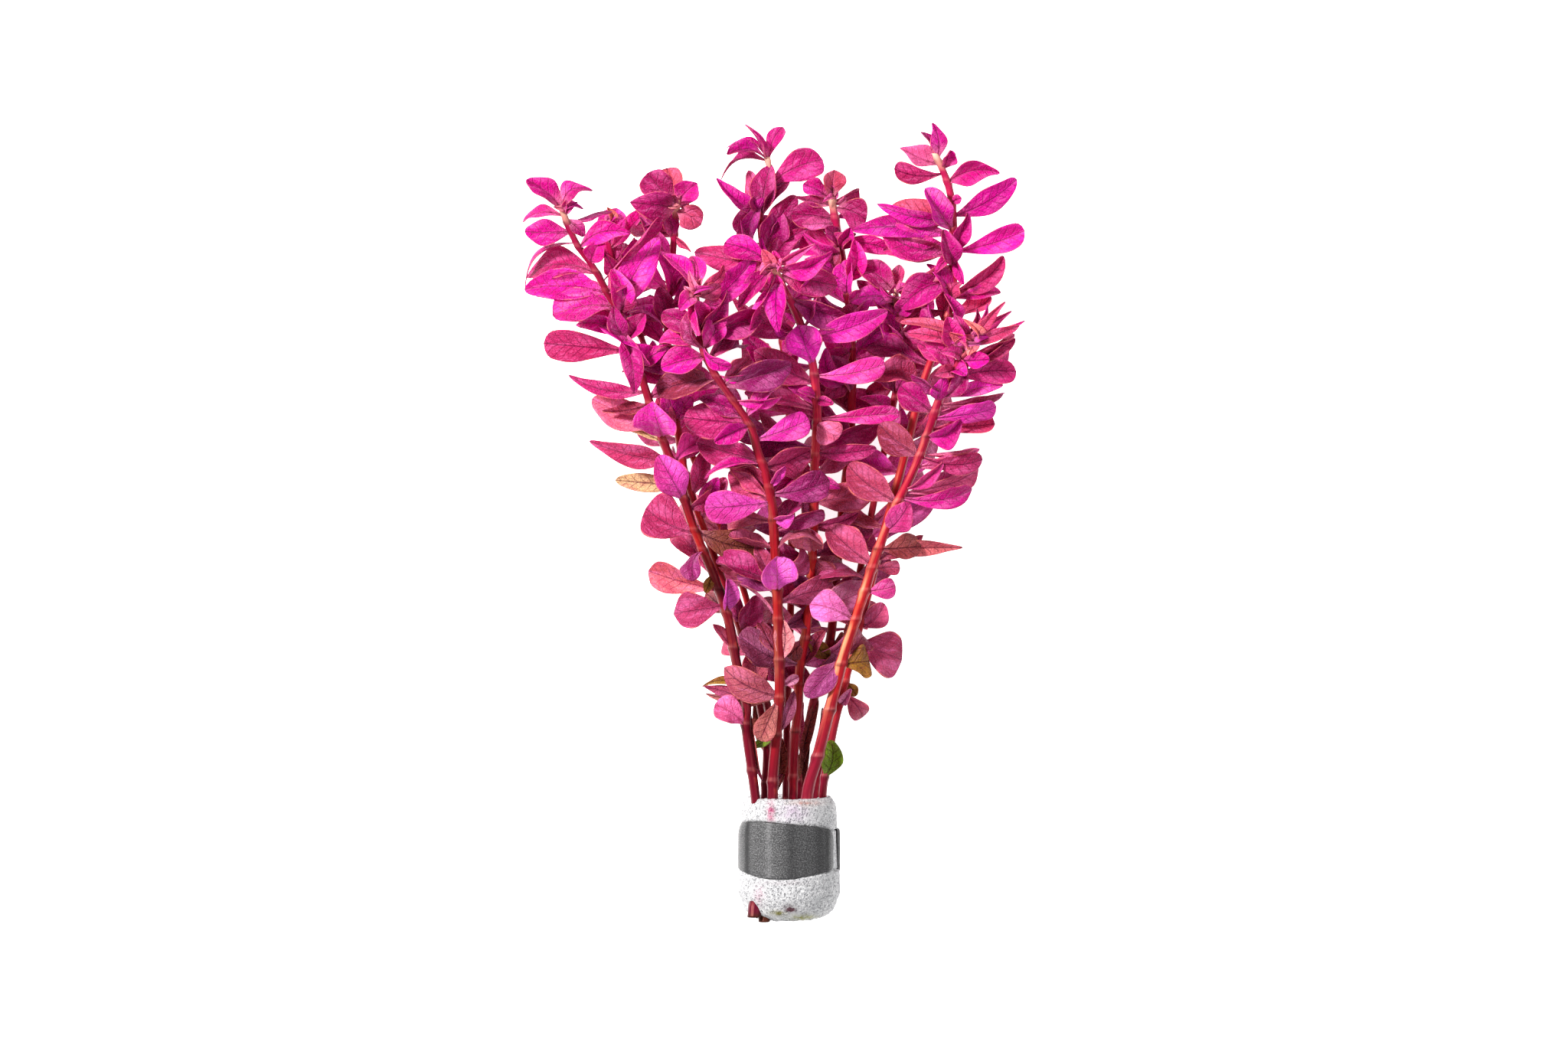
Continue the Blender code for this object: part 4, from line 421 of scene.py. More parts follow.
        (164, -39.5, 176, 4, 7, 20, 0.5, 0, "oval", "u"),
    ),
}

# The leaves deeper in the bunch, in opposite pairs: stem, first and last height, step, and length.
deepLeaves = (
    ("centre_left", 66, 172, 7.6, 18),
    ("centre", 64, 178, 7.6, 18),
    ("left_back", 70, 194, 7.6, 18),
    ("right_tall", 72, 204, 7.6, 18),
    ("centre_right", 66, 198, 7.6, 18),
    ("top_back", 66, 204, 7.6, 18),
    ("right_middle", 74, 170, 7.6, 18),
    ("left_middle", 74, 190, 7.6, 18),
    ("left_front", 74, 176, 9, 16),
    ("right_front", 74, 150, 9, 16),
)
deepSeed = 11
deepWidth = (7.6, 9.8)
deepLean = (3.0, 9.0)

# How far out the deeper leaves reach: the sides by height, and the top by place across.
leftSide = (
    (50, -10), (60, -13), (80, -18), (100, -29), (120, -33), (140, -41), (150, -39), (160, -43), (170, -53),
    (180, -60), (190, -58), (206, -48),
)
rightSide = (
    (50, 11), (62, 16), (75, 23), (90, 24), (100, 28), (110, 31), (120, 40), (130, 45), (140, 50), (160, 55),
    (170, 51), (190, 51), (208, 50),
)
topSide = (
    (-62, 188), (-50, 197), (-42, 200), (-30, 203), (-25, 190), (-18, 188), (-14, 200), (-5, 209), (5, 205),
    (14, 204), (20, 196), (24, 184), (32, 182), (38, 187), (45, 202), (52, 190), (56, 176), (62, 160),
)

# A deeper leaf is kept where this share of it shows from above, counted in cells of this size.
coverCell = 1.6
coverShare = 0.36

# How much further right and up, wider, and more bent to the left a leaf of the table is drawn, by its stem
# and its tip x.
nudges = {
    "left_front": {
        -72.6: (-1.8, -0.8, 1.2, 0), -55.6: (0.4, 0.8, 0.8, 0), -74.4: (0, 0.8, 0.8, 0),
        -74: (0, 0.2, 2.2, 2), -74.5: (-0.4, -1, 1.4, 0), -66: (-1, -1.6, 1.8, 0), -62.5: (0, -0.4, 0.6, 1.4),
        -69: (-0.4, 0.8, 0, 0), -41.2: (0.6, 0, 0.6, 0), -32.4: (0.4, -1, 0.4, 0), -39.4: (-0.4, 0.6, 0.6, 0),
    },
    "left_back": {
        -42.4: (-1, -0.6, 1.4, 0), -39.6: (-0.4, 0.2, 0.8, 0), -25.8: (1.2, 0, 2, 0),
        -26.6: (0.4, -0.6, 0.6, 0),
    },
    "top_back": {
        10: (0, 0.8, 1.8, 0.6), -19.6: (0, 0.4, 2, 0), -18: (-0.6, -0.4, 1.6, 0),
    },
    "right_tall": {
        31.2: (0.2, 0.4, 2.6, 0), 66.3: (0.4, 1.2, 1, 0), 59.6: (0.2, 0.6, 1.4, 0), 64.4: (0, 0.8, 0.6, 0),
        29.3: (0, 0.6, 0.4, 0), 25.2: (-0.4, -0.6, 1, 1.8), 27.5: (0, 1.6, 1, -1.6),
        32.6: (-0.6, -1.6, 0.4, 0), 37.6: (-0.6, 0, 1, 0),
    },
    "centre_right": {
        30.4: (0, 2.4, 0, 0),
    },
    "right_front": {
        62.3: (0, 0.6, 1, 0), 64: (0.4, 0, 0.8, 0), 58.4: (0.4, 0.4, 0.8, 0), 57.3: (0.4, 0, 0.8, 0),
    },
}

# The leaves that lie level, without the lean of the others, and those of another colour than their slot.
level = {("left_front", -74.0), ("left_front", -74.5), ("right_tall", 66.3)}
dyed = {("left_back", -39.6): "r"}

filling = {
    "seed": 21, "rounds": 5, "tries": (2, 7, 3), "more": (3, 9, 3), "moreFrom": 130.0, "coverShare": 0.18,
    "lean": (-4.0, 7.0), "gap": 0.05,
    # how many leaves unfold at a tip, and how far they reach
    "buds": {"centre": (9, 3.0, 7.0), "right_front": (9, 3.0, 7.0), "centre_left": (6, 2.4, 5.0),
             "left_back": (4, 2.0, 4.0), "left_front": (3, 2.0, 4.0), "centre_right": (3, 2.0, 4.0),
             "right_middle": (4, 2.0, 5.0), "left_middle": (3, 2.0, 4.0)},
    # from what height leaves stand over each stem towards the eye, and their step
    "front": (("left_front", 156.0, 7.0), ("centre_left", 160.0, 7.0), ("centre", 166.0, 7.0),
              ("right_front", 147.0, 7.0), ("right_tall", 166.0, 9.0), ("left_back", 140.0, 8.0),
              ("top_back", 150.0, 8.0), ("centre_right", 150.0, 8.0), ("right_middle", 140.0, 8.0),
              ("left_middle", 130.0, 8.0)),
}

# More thin leaves: the stem and the leaf.
extraLeaves = (
    ("top_back", (191, 2, 204, 4, 7, 0, 1, 0, "oval", "d")),
    ("right_tall", (192, 17, 193, 2, 7, 10, 1, -2.2, "oval", "m")),
    ("right_tall", (196, 25, 200.5, 3, 5, 0, 1, 0.5, "oval", "m")),
    ("right_tall", (187, 27.5, 189.5, -1, 5, 0, 1, 1.5, "oval", "s")),
    ("left_front", (163, -60, 167, 0, 5, 10, 1, -0.5, "oval", "m")),
    ("left_back", (150, -47.5, 158, 4, 4.5, 20, 0.5, 0.3, "spear", "d")),
    ("right_front", (155, 64, 164.5, -2, 4.5, 20, 1, -1, "oval", "s")),
    ("right_front", (142, 61, 148.5, -1, 3, 30, 0.5, -0.5, "spear", "m")),
    ("right_front", (127, 54, 132, -1, 4.6, 10, 1, -0.5, "oval", "p")),
    ("right_front", (101, 38, 107.6, -2, 4.4, 20, 0.8, -0.5, "oval", "b")),
    ("centre_left", (150, -11, 157.5, -2, 7, 0, 1, 0, "oval", "r")),
    ("top_back", (150, -13.5, 165, 10, 7, 0, 1, 0, "oval", "d")),
    ("centre_left", (141, -1, 149.5, -2, 5.5, 0, 1, 0, "oval", "m")),
    ("centre", (144, -0.5, 149.8, 0, 4, 10, 0.5, 0, "oval", "m")),
    ("top_back", (118, 5, 129.5, 10, 6, 0, 1, 0, "oval", "r")),
    ("centre", (88, 0.5, 98.5, 2, 4.6, 0, 1, 0, "oval", "u")),
    ("centre_right", (86, 18, 96.5, 4, 6, 0, 1, 0, "oval", "r")),
    ("centre", (71, 9.5, 81.5, 2, 5, 0, 0.5, 0, "oval", "b")),
    ("centre_right", (70, 15, 81, 4, 4.6, 0, 0.5, 0, "oval", "r")),
    ("centre_left", (95, -9, 105.5, 0, 5, 0, 0.5, 0, "oval", "u")),
    ("left_back", (82, -15, 92, 1, 4, 0, 0.5, 0, "oval", "d")),
    ("left_back", (112, -17.5, 124.5, 1, 6, 0, 0.5, 0, "oval", "r")),
    ("centre_right", (148, 11, 158.5, 6, 6, 0, 0.5, 0, "oval", "d")),
    ("right_tall", (165, 44, 176, 6, 5.5, 30, 1, 0, "oval", "m")),
    ("right_middle", (158, 43, 157, 3, 6, 20, 1, 0, "oval", "d")),
    ("left_back", (172, -28.5, 181, 3, 5, 20, 1, 0, "oval", "m")),
    ("left_middle", (170, -52, 170.5, 8, 6, 20, 1, 0, "oval", "m")),
    ("centre", (46, 5.2, 61, -2, 3.6, 0, 0.5, 0, "spear", "b")),
    ("right_middle", (42, 9.6, 60, 2, 3.6, 0, 0.5, 0, "spear", "b")),
    ("centre_right", (38, 6.2, 55, 1, 3.2, 0, 0.5, 0, "spear", "b")),
    ("left_back", (38, -9.6, 58, 1, 2.6, 0, 0.3, 0, "spear", "b")),
    ("left_middle", (37, -2.4, 54, 0, 2.4, 0, 0.3, 0, "spear", "b")),
    ("left_middle", (34.5, -2.2, 52, 0, 3.4, 0, 0.3, 0, "oval", "b")),
    ("left_front", (165, -43, 148, 6, 6.5, 10, 1.5, 0.5, "oval", "m")),
    ("left_back", (138, -36.5, 147.5, 2, 5.4, 10, 0.5, 0, "oval", "r")),
    ("centre_left", (141, -25, 147, -4, 5.4, 10, 0.5, 0, "oval", "d")),
    ("centre_left", (118.5, -15.5, 129, -3, 8, 0, 0.5, 0, "oval", "r")),
    ("top_back", (119, -9, 128.5, 8, 6, 0, 0.5, 0, "oval", "d")),
    ("centre_right", (135, 10, 145, 2, 6.4, 0, 0.5, 0, "oval", "d")),
    ("left_back", (70, -5.4, 83.5, 5, 6, 0, 0.5, 0, "oval", "b")),
    ("centre_right", (42, 8.6, 62, 2, 3.6, 0, 0.3, 0, "oval", "b")),
    ("left_middle", (44, -9.8, 61.5, 2, 3.2, 0, 0.3, 0, "oval", "b")),
    ("right_middle", (172, 18.8, 179, 0, 5, 10, 1, 0, "oval", "d")),
    ("right_tall", (167, 42.6, 177, 2, 4.6, 0, 0.5, 0, "oval", "r")),
    ("right_front", (161.5, 53.2, 172, -3, 3.4, 20, 0.5, 0, "spear", "r")),
    ("right_front", (161, 66, 168, -4, 3.4, 10, 0.5, 0, "spear", "m")),
    ("centre_left", (157, -16, 167.5, -3, 5.4, 0, 0.5, 0, "oval", "d")),
    ("right_tall", (190, 32, 186.5, -1, 6, 0, 1, -1, "oval", "r")),
    ("centre_right", (34.5, 5.6, 50, 1, 3, 0, 0.3, 0, "oval", "b")),
    ("left_middle", (33.8, -1.4, 41, 1, 2.6, 0, 0.2, 0, "oval", "b")),
    ("left_front", (168, -63, 168.5, -1, 5, 10, 1, -1, "oval", "m")),
    ("left_front", (150, -47, 153.5, -3, 5, 20, 0.5, 0, "oval", "d")),
    ("left_middle", (184, -45.5, 190, -1, 6, 10, 0.5, 0, "oval", "d")),
    ("centre", (143, -13, 148, -6, 5, 0, 0.5, 0, "oval", "r")),
    ("top_back", (134, -8, 142, 8, 5, 0, 0.5, 0, "oval", "d")),
    ("centre_left", (74, -8, 84.5, -3, 5, 10, 0.5, 0, "oval", "b")),
    ("left_front", (62, -23.8, 65.2, -2, 4.4, 0, 0.5, -0.6, "spear", "r")),
    ("right_tall", (186, 26, 187.5, -2, 6.4, 0, 1, -1, "oval", "d")),
    ("right_tall", (186, 51.5, 198, 1, 5, 10, 0.5, 0, "oval", "m")),
    ("right_front", (157, 63.8, 163.8, 0, 5, 10, 1, -0.5, "oval", "r")),
    ("right_front", (119, 47.5, 127, -4, 5, 10, 0.5, 0, "oval", "d")),
    ("centre_right", (188, 10, 194.5, 4, 5.4, 10, 0.5, 0, "oval", "d")),
    ("centre_right", (188, 17.5, 195, 4, 4.8, 10, 0.5, 0, "oval", "m")),
)

# The order of trying: how far a crowded leaf may lift or sink, turn, and shorten.
lifts = (0.0, 2.0, -2.0, 4.0, -4.0, 6.0, -6.0, 9.0, -9.0, 12.0, -12.0, 15.0)
turns = (0.0, 18.0, -18.0, 40.0, -40.0)
shares = (1.0, 0.85, 0.7)


def between(rows, at):
    for (a, low), (b, high) in zip(rows, rows[1:]):
        if at <= b:
            return low + (high - low) * max(0.0, at - a) / (b - a)
    return rows[-1][1]


# From 0 at low to 1 at high, and level on either side.
def ramp(value, low, high):
    return min(1.0, max(0.0, (value - low) / (high - low)))


# A place on the curve from a to b that leaves a and reaches b in the given ways.
def curve(a, b, into, out, t):
    t2 = t * t
    t3 = t2 * t
    return a * (2 * t3 - 3 * t2 + 1) + into * (t3 - 2 * t2 + t) + b * (3 * t2 - 2 * t3) + out * (t3 - t2)


# As between, but on a smooth line through the rows.
def smooth(rows, at):
    for i in range(len(rows) - 1):
        if at <= rows[i + 1][0]:
            break
    (low, a), (high, b) = rows[i], rows[i + 1]
    before = rows[max(i - 1, 0)]
    after = rows[min(i + 2, len(rows) - 1)]
    t = min(max((at - low) / (high - low), 0.0), 1.0)
    into = (b - before[1]) / (high - before[0]) * (high - low)
    out = (after[1] - a) / (after[0] - low) * (high - low)
    return curve(a, b, into, out, t)


# Where a place seen from above is, when it is z above the surface.
def realPlace(x, y, z):
    near = 1.0 - (z - eye["level"]) / eye["height"]
    return Vector((eye["x"] + (x - eye["x"]) * near, eye["y"] + (y - eye["y"]) * near, z))


class Stem:
    def __init__(self, name, thick, line):
        self.name = name
        self.knots = [realPlace(*knot) for knot in line]
        self.low = self.knots[0].y
        self.high = self.knots[-1].y
        self.thick = thick
        self.seen = [(knot[1], place.y) for knot, place in zip(line, self.knots)]

    # The true height of a place on the stem from the height that it is seen at.
    def realHeight(self, seen):
        return between(self.seen, seen)

    # The middle of the stem at height y, on a smooth line through the knots.
    def at(self, y):
        knots = self.knots
        for i in range(len(knots) - 1):
            if y <= knots[i + 1].y or i == len(knots) - 2:
                break
        a = knots[max(i - 1, 0)]
        b = knots[i]
        c = knots[i + 1]
        d = knots[min(i + 2, len(knots) - 1)]
        t = min(max((y - b.y) / (c.y - b.y), 0.0), 1.0)
        into = (c - a) * ((c.y - b.y) / (c.y - a.y))
        out = (d - b) * ((c.y - b.y) / (d.y - b.y))
        place = curve(b, c, into, out, t)
        place.y = y
        return place

    def radius(self, y):
        share = (y - self.low) / (self.high - self.low)
        return 0.5 * (self.thick[0] + (self.thick[1] - self.thick[0]) * share)

    # The heights at which the stem's solid bends.
    def heights(self):
        kept = [0]
        last = len(self.knots) - 1
        while kept[-1] < last:
            start = kept[-1]
            reach = start + 1
            while reach < last and self.knots[start].y > foam["outline"][-1][0] - 2.0:
                if self.stray(start, reach + 1) > blade["stray"]:
                    break
                reach += 1
            kept.append(reach)
        return [self.knots[i].y for i in kept]

    def stray(self, start, end):
        a = self.knots[start]
        b = self.knots[end]
        most = 0.0
        for knot in self.knots[start + 1:end]:
            share = (knot.y - a.y) / (b.y - a.y)
            most = max(most, (a + (b - a) * share - knot).length)
        return most


class Leaf:
    def __init__(self, stem, row, lift=0.0, turn=0.0, share=1.0, own=False):
        seen, tipX, tipY, rise, width, twist, arch, left, outline, tint = row
        height = stem.realHeight(seen)
        axis = stem.at(height)
        tip = realPlace(tipX, tipY, axis.z + rise)
        tip.z = max(tip.z + lift, 0.0)
        tip = axis + (tip - axis) * share
        stemWay = (stem.at(height + 1.0) - stem.at(height - 1.0)).normalized()
        away = tip - axis
        away -= stemWay * away.dot(stemWay)
        away.normalize()
        inside = 0.3 * stem.radius(height)
        reach = stem.radius(height) + blade["foot"] + 0.5 * blade["thick"]
        self.foot = axis + away * (reach if own else inside)
        self.root = axis + away * inside
        self.tip = tip
        self.height = height
        self.width = width * min(1.0, 0.3 + 0.7 * share)
        self.outline = outline
        self.tint = tint
        self.arch = arch
        self.left = left
        along = (self.tip - self.foot).normalized()
        up = Vector((0.0, 0.0, 1.0)) - along * along.z
        if up.length < 0.2:
            up = -away + along * away.dot(along)
        up.normalize()
        self.bowSide = -along.cross(up)
        self.up = Matrix.Rotation(math.radians(twist + turn), 3, along) @ up
        self.across = along.cross(self.up)
        self.length = (self.tip - self.foot).length
        self.area = self.length * self.width
        self.own = own
        self.fromTip = stem.high - height
        self.listed = False
        self.level = False
        self.dye = tint

    def rows(self):
        size = 0 if self.own else 1 if self.area > 70.0 else 2
        return rowPlaces[self.outline][size]

    # A point of the leaf's solid: t from foot to tip, side and top from -1 to 1.
    def place(self, t, side, top, more=0.0):
        half = 0.5 * self.width * between(outlines[self.outline], t)
        bow = 4.0 * t * (1.0 - t)
        point = self.foot.lerp(self.tip, t) + self.up * (self.arch * bow) + self.bowSide * (self.left * bow)
        point += self.across * (side * (half + more)) + self.up * (abs(side) * blade["fold"] * half)
        point.z = max(point.z, 0.5 * blade["thick"] + more)
        thin = 0.5 * blade["thick"] * (1.0 if t < 0.999 else 0.0) + more
        point += self.up * (top * thin)
        point.z = max(point.z, 0.0)
        return point

    def skin(self, more=0.0):
        points = []
        faces = []
        rows = self.rows()
        ends = corners[0 if self.own else 1]
        n = len(ends)
        for t in rows:
            for side, top in ends:
                points.append(self.place(t, side, top, more))
        points.append(self.place(1.0, 0, 0) + (self.tip - self.foot).normalized() * more)
        for i in range(len(rows) - 1):
            for k in range(n):
                a = n * i + k
                b = n * i + (k + 1) % n
                faces.append((a, b, b + n, a + n))
        last = n * (len(rows) - 1)
        for k in range(n):
            faces.append((last + k, last + (k + 1) % n, len(points) - 1))
        faces.append(tuple(range(n)))
        return points, faces

    # The cells that the blade covers, seen from above.
    def cells(self):
        found = set()
        for i in range(2, 12):
            for side in (-0.8, -0.4, 0.0, 0.4, 0.8):
                point = self.place(i / 12.0, side, 0)
                near = 1.0 - (point.z - eye["level"]) / eye["height"]
                x = eye["x"] + (point.x - eye["x"]) / near
                y = eye["y"] + (point.y - eye["y"]) / near
                found.add((int(x // coverCell), int(y // coverCell)))
        return found


def boxOf(points):
    low = [min(p[i] for p in points) for i in range(3)]
    high = [max(p[i] for p in points) for i in range(3)]
    return low, high


# What is placed already, for keeping each new leaf clear of it.
class Crowd:
    def __init__(self):
        self.items = []

    def add(self, owner, points, faces):
        self.items.append((owner, boxOf(points), BVHTree.FromPolygons(points, faces)))

    def meets(self, points, faces, skip=()):
        low, high = boxOf(points)
        tree = None
        for owner, (otherLow, otherHigh), other in self.items:
            if owner in skip or any(low[i] > otherHigh[i] or otherLow[i] > high[i] for i in range(3)):
                continue
            if tree is None:
                tree = BVHTree.FromPolygons(points, faces)
            if tree.overlap(other):
                return True
        return False


def stemSkin(stem):
    points = []
    faces = []
    heights = stem.heights()
    for y in heights:
        middle = stem.at(y)
        radius = stem.radius(y)
        for k in range(6):
            angle = 2.0 * math.pi * k / 6
            points.append(middle + Vector((math.cos(angle) * radius, 0.0, math.sin(angle) * radius)))
    for i in range(len(heights) - 1):
        for k in range(6):
            a = i * 6 + k
            b = i * 6 + (k + 1) % 6
            faces.append((a, b, b + 6, a + 6))
    return points, faces


# The opposite pairs of deeper leaves, which spread sideways, then down and out, by turns.
def deepRows(stem, first, last, step, length, draw):
    rows = []
    height = first
    count = 0
    while height <= last:
        axis = stem.at(stem.realHeight(height))
        for side in (-1.0, 1.0):
            angle = math.radians(draw.uniform(-26.0, -4.0) if count % 2 else draw.uniform(-66.0, -38.0))
            reach = length * draw.uniform(0.85, 1.1)
            lean = draw.uniform(*deepLean)
            width = draw.uniform(*deepWidth)
            twist = draw.uniform(-14.0, 14.0)
            outline = "round" if draw.random() < 0.5 - (height - 110.0) / 150.0 else "oval"
            tint = draw.choice("rlup" if height < 112.0 else "rldu" if height < 160.0 else "dmmr")
            tipX = axis.x + side * reach * math.cos(angle)
            tipY = height + lean
            if height > 84.0 or draw.random() < 0.6:
                rows.append((height, tipX, tipY, reach * math.sin(angle), width, twist, 0.9, 0.0,
                             outline, tint))
        height += step
        count += 1
    return rows


def inside(row):
    x = row[1]
    y = row[2]
    return between(leftSide, y) < x < between(rightSide, y) and y < between(topSide, x)


# The first try that is clear of all that is placed, and that shows enough if covered is given.
def fitLeaf(stem, row, own, crowd, covered=None, tries=(3, 12, 5), least=coverShare, loose=False):
    for share in shares[:tries[0]]:
        for lift in lifts[:tries[1]]:
            for turn in turns[:tries[2]]:
                leaf = Leaf(stem, row, lift, turn, share, own)
                if covered is not None:
                    cells = leaf.cells()
                    if len(cells - covered) < least * len(cells):
                        continue
                skip = () if own else (stem.name, stem.name + " small leaf") if loose else (stem.name,)
                if crowd.meets(*leaf.skin(blade["gap"]), skip=skip):
                    continue
                crowd.add(stem.name + (" leaf" if own else " small leaf"), *leaf.skin())
                return leaf
    return None


# Leaves that stand over their stem towards the eye, foreshortened, from the pairs between the side pairs.
def frontRows(stem, first, step, draw):
    rows = []
    last = stem.seen[-1][0] - 4.0
    height = first
    while height < last:
        axis = stem.at(stem.realHeight(height))
        for side in (-1.0, 1.0):
            sideways = side * draw.uniform(2.0, 11.0)
            ahead = draw.uniform(4.0, 13.0)
            rise = draw.uniform(0.0, 7.0)
            outline = draw.choice(("oval", "oval", "spear"))
            rows.append((
                height, axis.x + sideways, height + ahead, rise, draw.uniform(4.6, 7.4),
                draw.uniform(-50.0, 50.0), draw.uniform(0.6, 2.4), 0.0, outline, draw.choice("mmmdr")))
        height += step * draw.uniform(0.8, 1.2)
    return rows


# The small pale leaves that unfold at the tip of a stem.
def budRows(stem, draw):
    rows = []
    height = stem.seen[-1][0] - 0.6
    axis = stem.at(stem.realHeight(height))
    count, near, far = filling["buds"].get(stem.name, (0, 0.0, 0.0))
    for k in range(count):
        angle = math.radians(360.0 * k / count + draw.uniform(-20.0, 20.0))
        reach = draw.uniform(near, far)
        rows.append((height - draw.uniform(0.0, 1.5), axis.x + reach * math.cos(angle),
                     height + 1.4 + 0.8 * reach * math.sin(angle), draw.uniform(1.5, 4.5), 1.0 + 0.42 * reach,
                     draw.uniform(-30.0, 30.0), 0.8, 0.0, "oval", draw.choice("tpmm")))
    return rows


# All stems, all leaves of the CAD as (stem name, leaf, own piece), and the rows left for thin leaves.
def layOut():
    stems = {name: Stem(name, spec["thick"], spec["line"]) for name, spec in stemTable.items()}
    crowd = Crowd()
    for name, stem in stems.items():
        crowd.add(name, *stemSkin(stem))
    wanted = []
    for name, rows in leafTable.items():
        big = sorted(rows, key=lambda row: -Leaf(stems[name], row).area)[:stemTable[name]["own"]]
        for row in rows:
            wanted.append((name, row, row in big))
    wanted.sort(key=lambda item: not item[2])
    placed = []
    spare = []
    covered = set()
    for name, row, own in wanted:
        leaf = fitLeaf(stems[name], row, own, crowd)
        if leaf is None:
            spare.append((name, row))
            continue
        leaf.listed = True
        leaf.nudge = nudges.get(name, {}).get(row[1], (0.0, 0.0, 0.0, 0.0))
        leaf.level = (name, row[1]) in level
        leaf.dye = dyed.get((name, row[1]), leaf.tint)
        placed.append((name, leaf, own))
        covered |= leaf.cells()
    draw = random.Random(deepSeed)
    for name, first, last, step, length in deepLeaves:
        for row in deepRows(stems[name], first, last, step, length, draw):
            if not inside(row):
                continue
            leaf = fitLeaf(stems[name], row, False, crowd, covered)
            if leaf is not None:
                placed.append((name, leaf, False))
                covered |= leaf.cells()
    return stems, placed, spare, crowd, covered


# Thin leaves between the CAD's, where the crowd leaves room for them.
def fillIn(stems, crowd, covered, spare):
    draw = random.Random(filling["seed"])
    wanted = [(name, row, None) for name, row in spare + list(extraLeaves)]
    for name, stem in stems.items():
        wanted += [(name, row, None) for row in budRows(stem, draw)]
    for name, first, step in filling["front"]:
        wanted += [(name, row, None) for row in frontRows(stems[name], first, step, draw) if inside(row)]
    for number in range(filling["rounds"]):
        for name, first, last, step, length in deepLeaves:
            start = first + step * draw.uniform(0.2, 0.8)
            for row in deepRows(stems[name], start, last, step, length, draw):
                height, tipX, tipY, rise, width, twist, arch, left, outline, tint = row
                tall = min(1.0, max(0.0, (height - 110.0) / 60.0))
                tipY += draw.uniform(*filling["lean"]) + 5.0 * tall
                width *= 1.0 - 0.1 * tall
                if outline == "oval" and draw.random() < (height - 110.0) / 110.0:
                    outline = "spear"
                row = (height, tipX, tipY, rise, width, twist * 2.0, arch, left, outline, tint)
                if inside(row) and row[2] + 3.0 < between(topSide, row[1]):
                    wanted.append((name, row, covered))
    found = []
    for name, row, over in wanted:
        tries = filling["more" if row[0] > filling["moreFrom"] or over is None else "tries"]
        leaf = fitLeaf(stems[name], row, False, crowd, over, tries, filling["coverShare"], over is None)
        if leaf is not None:
            found.append((name, leaf))
            covered |= leaf.cells()
    return found


stems, placed, spare, crowd, covered = layOut()
points = [p for name, leaf, own in placed for p in leaf.skin()[0]]
for name, leaf, own in placed:
    if leaf.listed:
        leaf.tip += Vector((*leaf.nudge[:2], 0.0))
        leaf.width += leaf.nudge[2]
        leaf.left += leaf.nudge[3]
for stem in stems.values():
    points += stemSkin(stem)[0]
wide = max(radius for y, radius in foam["outline"])
points += [Vector((-wide, 0.0, foam["axisZ"])), Vector((wide, 0.0, foam["axisZ"]))]
low, high = boxOf(points)
move = Vector((-0.5 * (low[0] + high[0]), -0.5 * (low[1] + high[1]), 0.0))
blade["thick"] = leafLook["thick"]
blade["gap"] = filling["gap"]
filled = fillIn(stems, crowd, covered, spare)
print("layout done: %d leaves, %d spare, %d filled in" % (len(placed), len(spare), len(filled)))


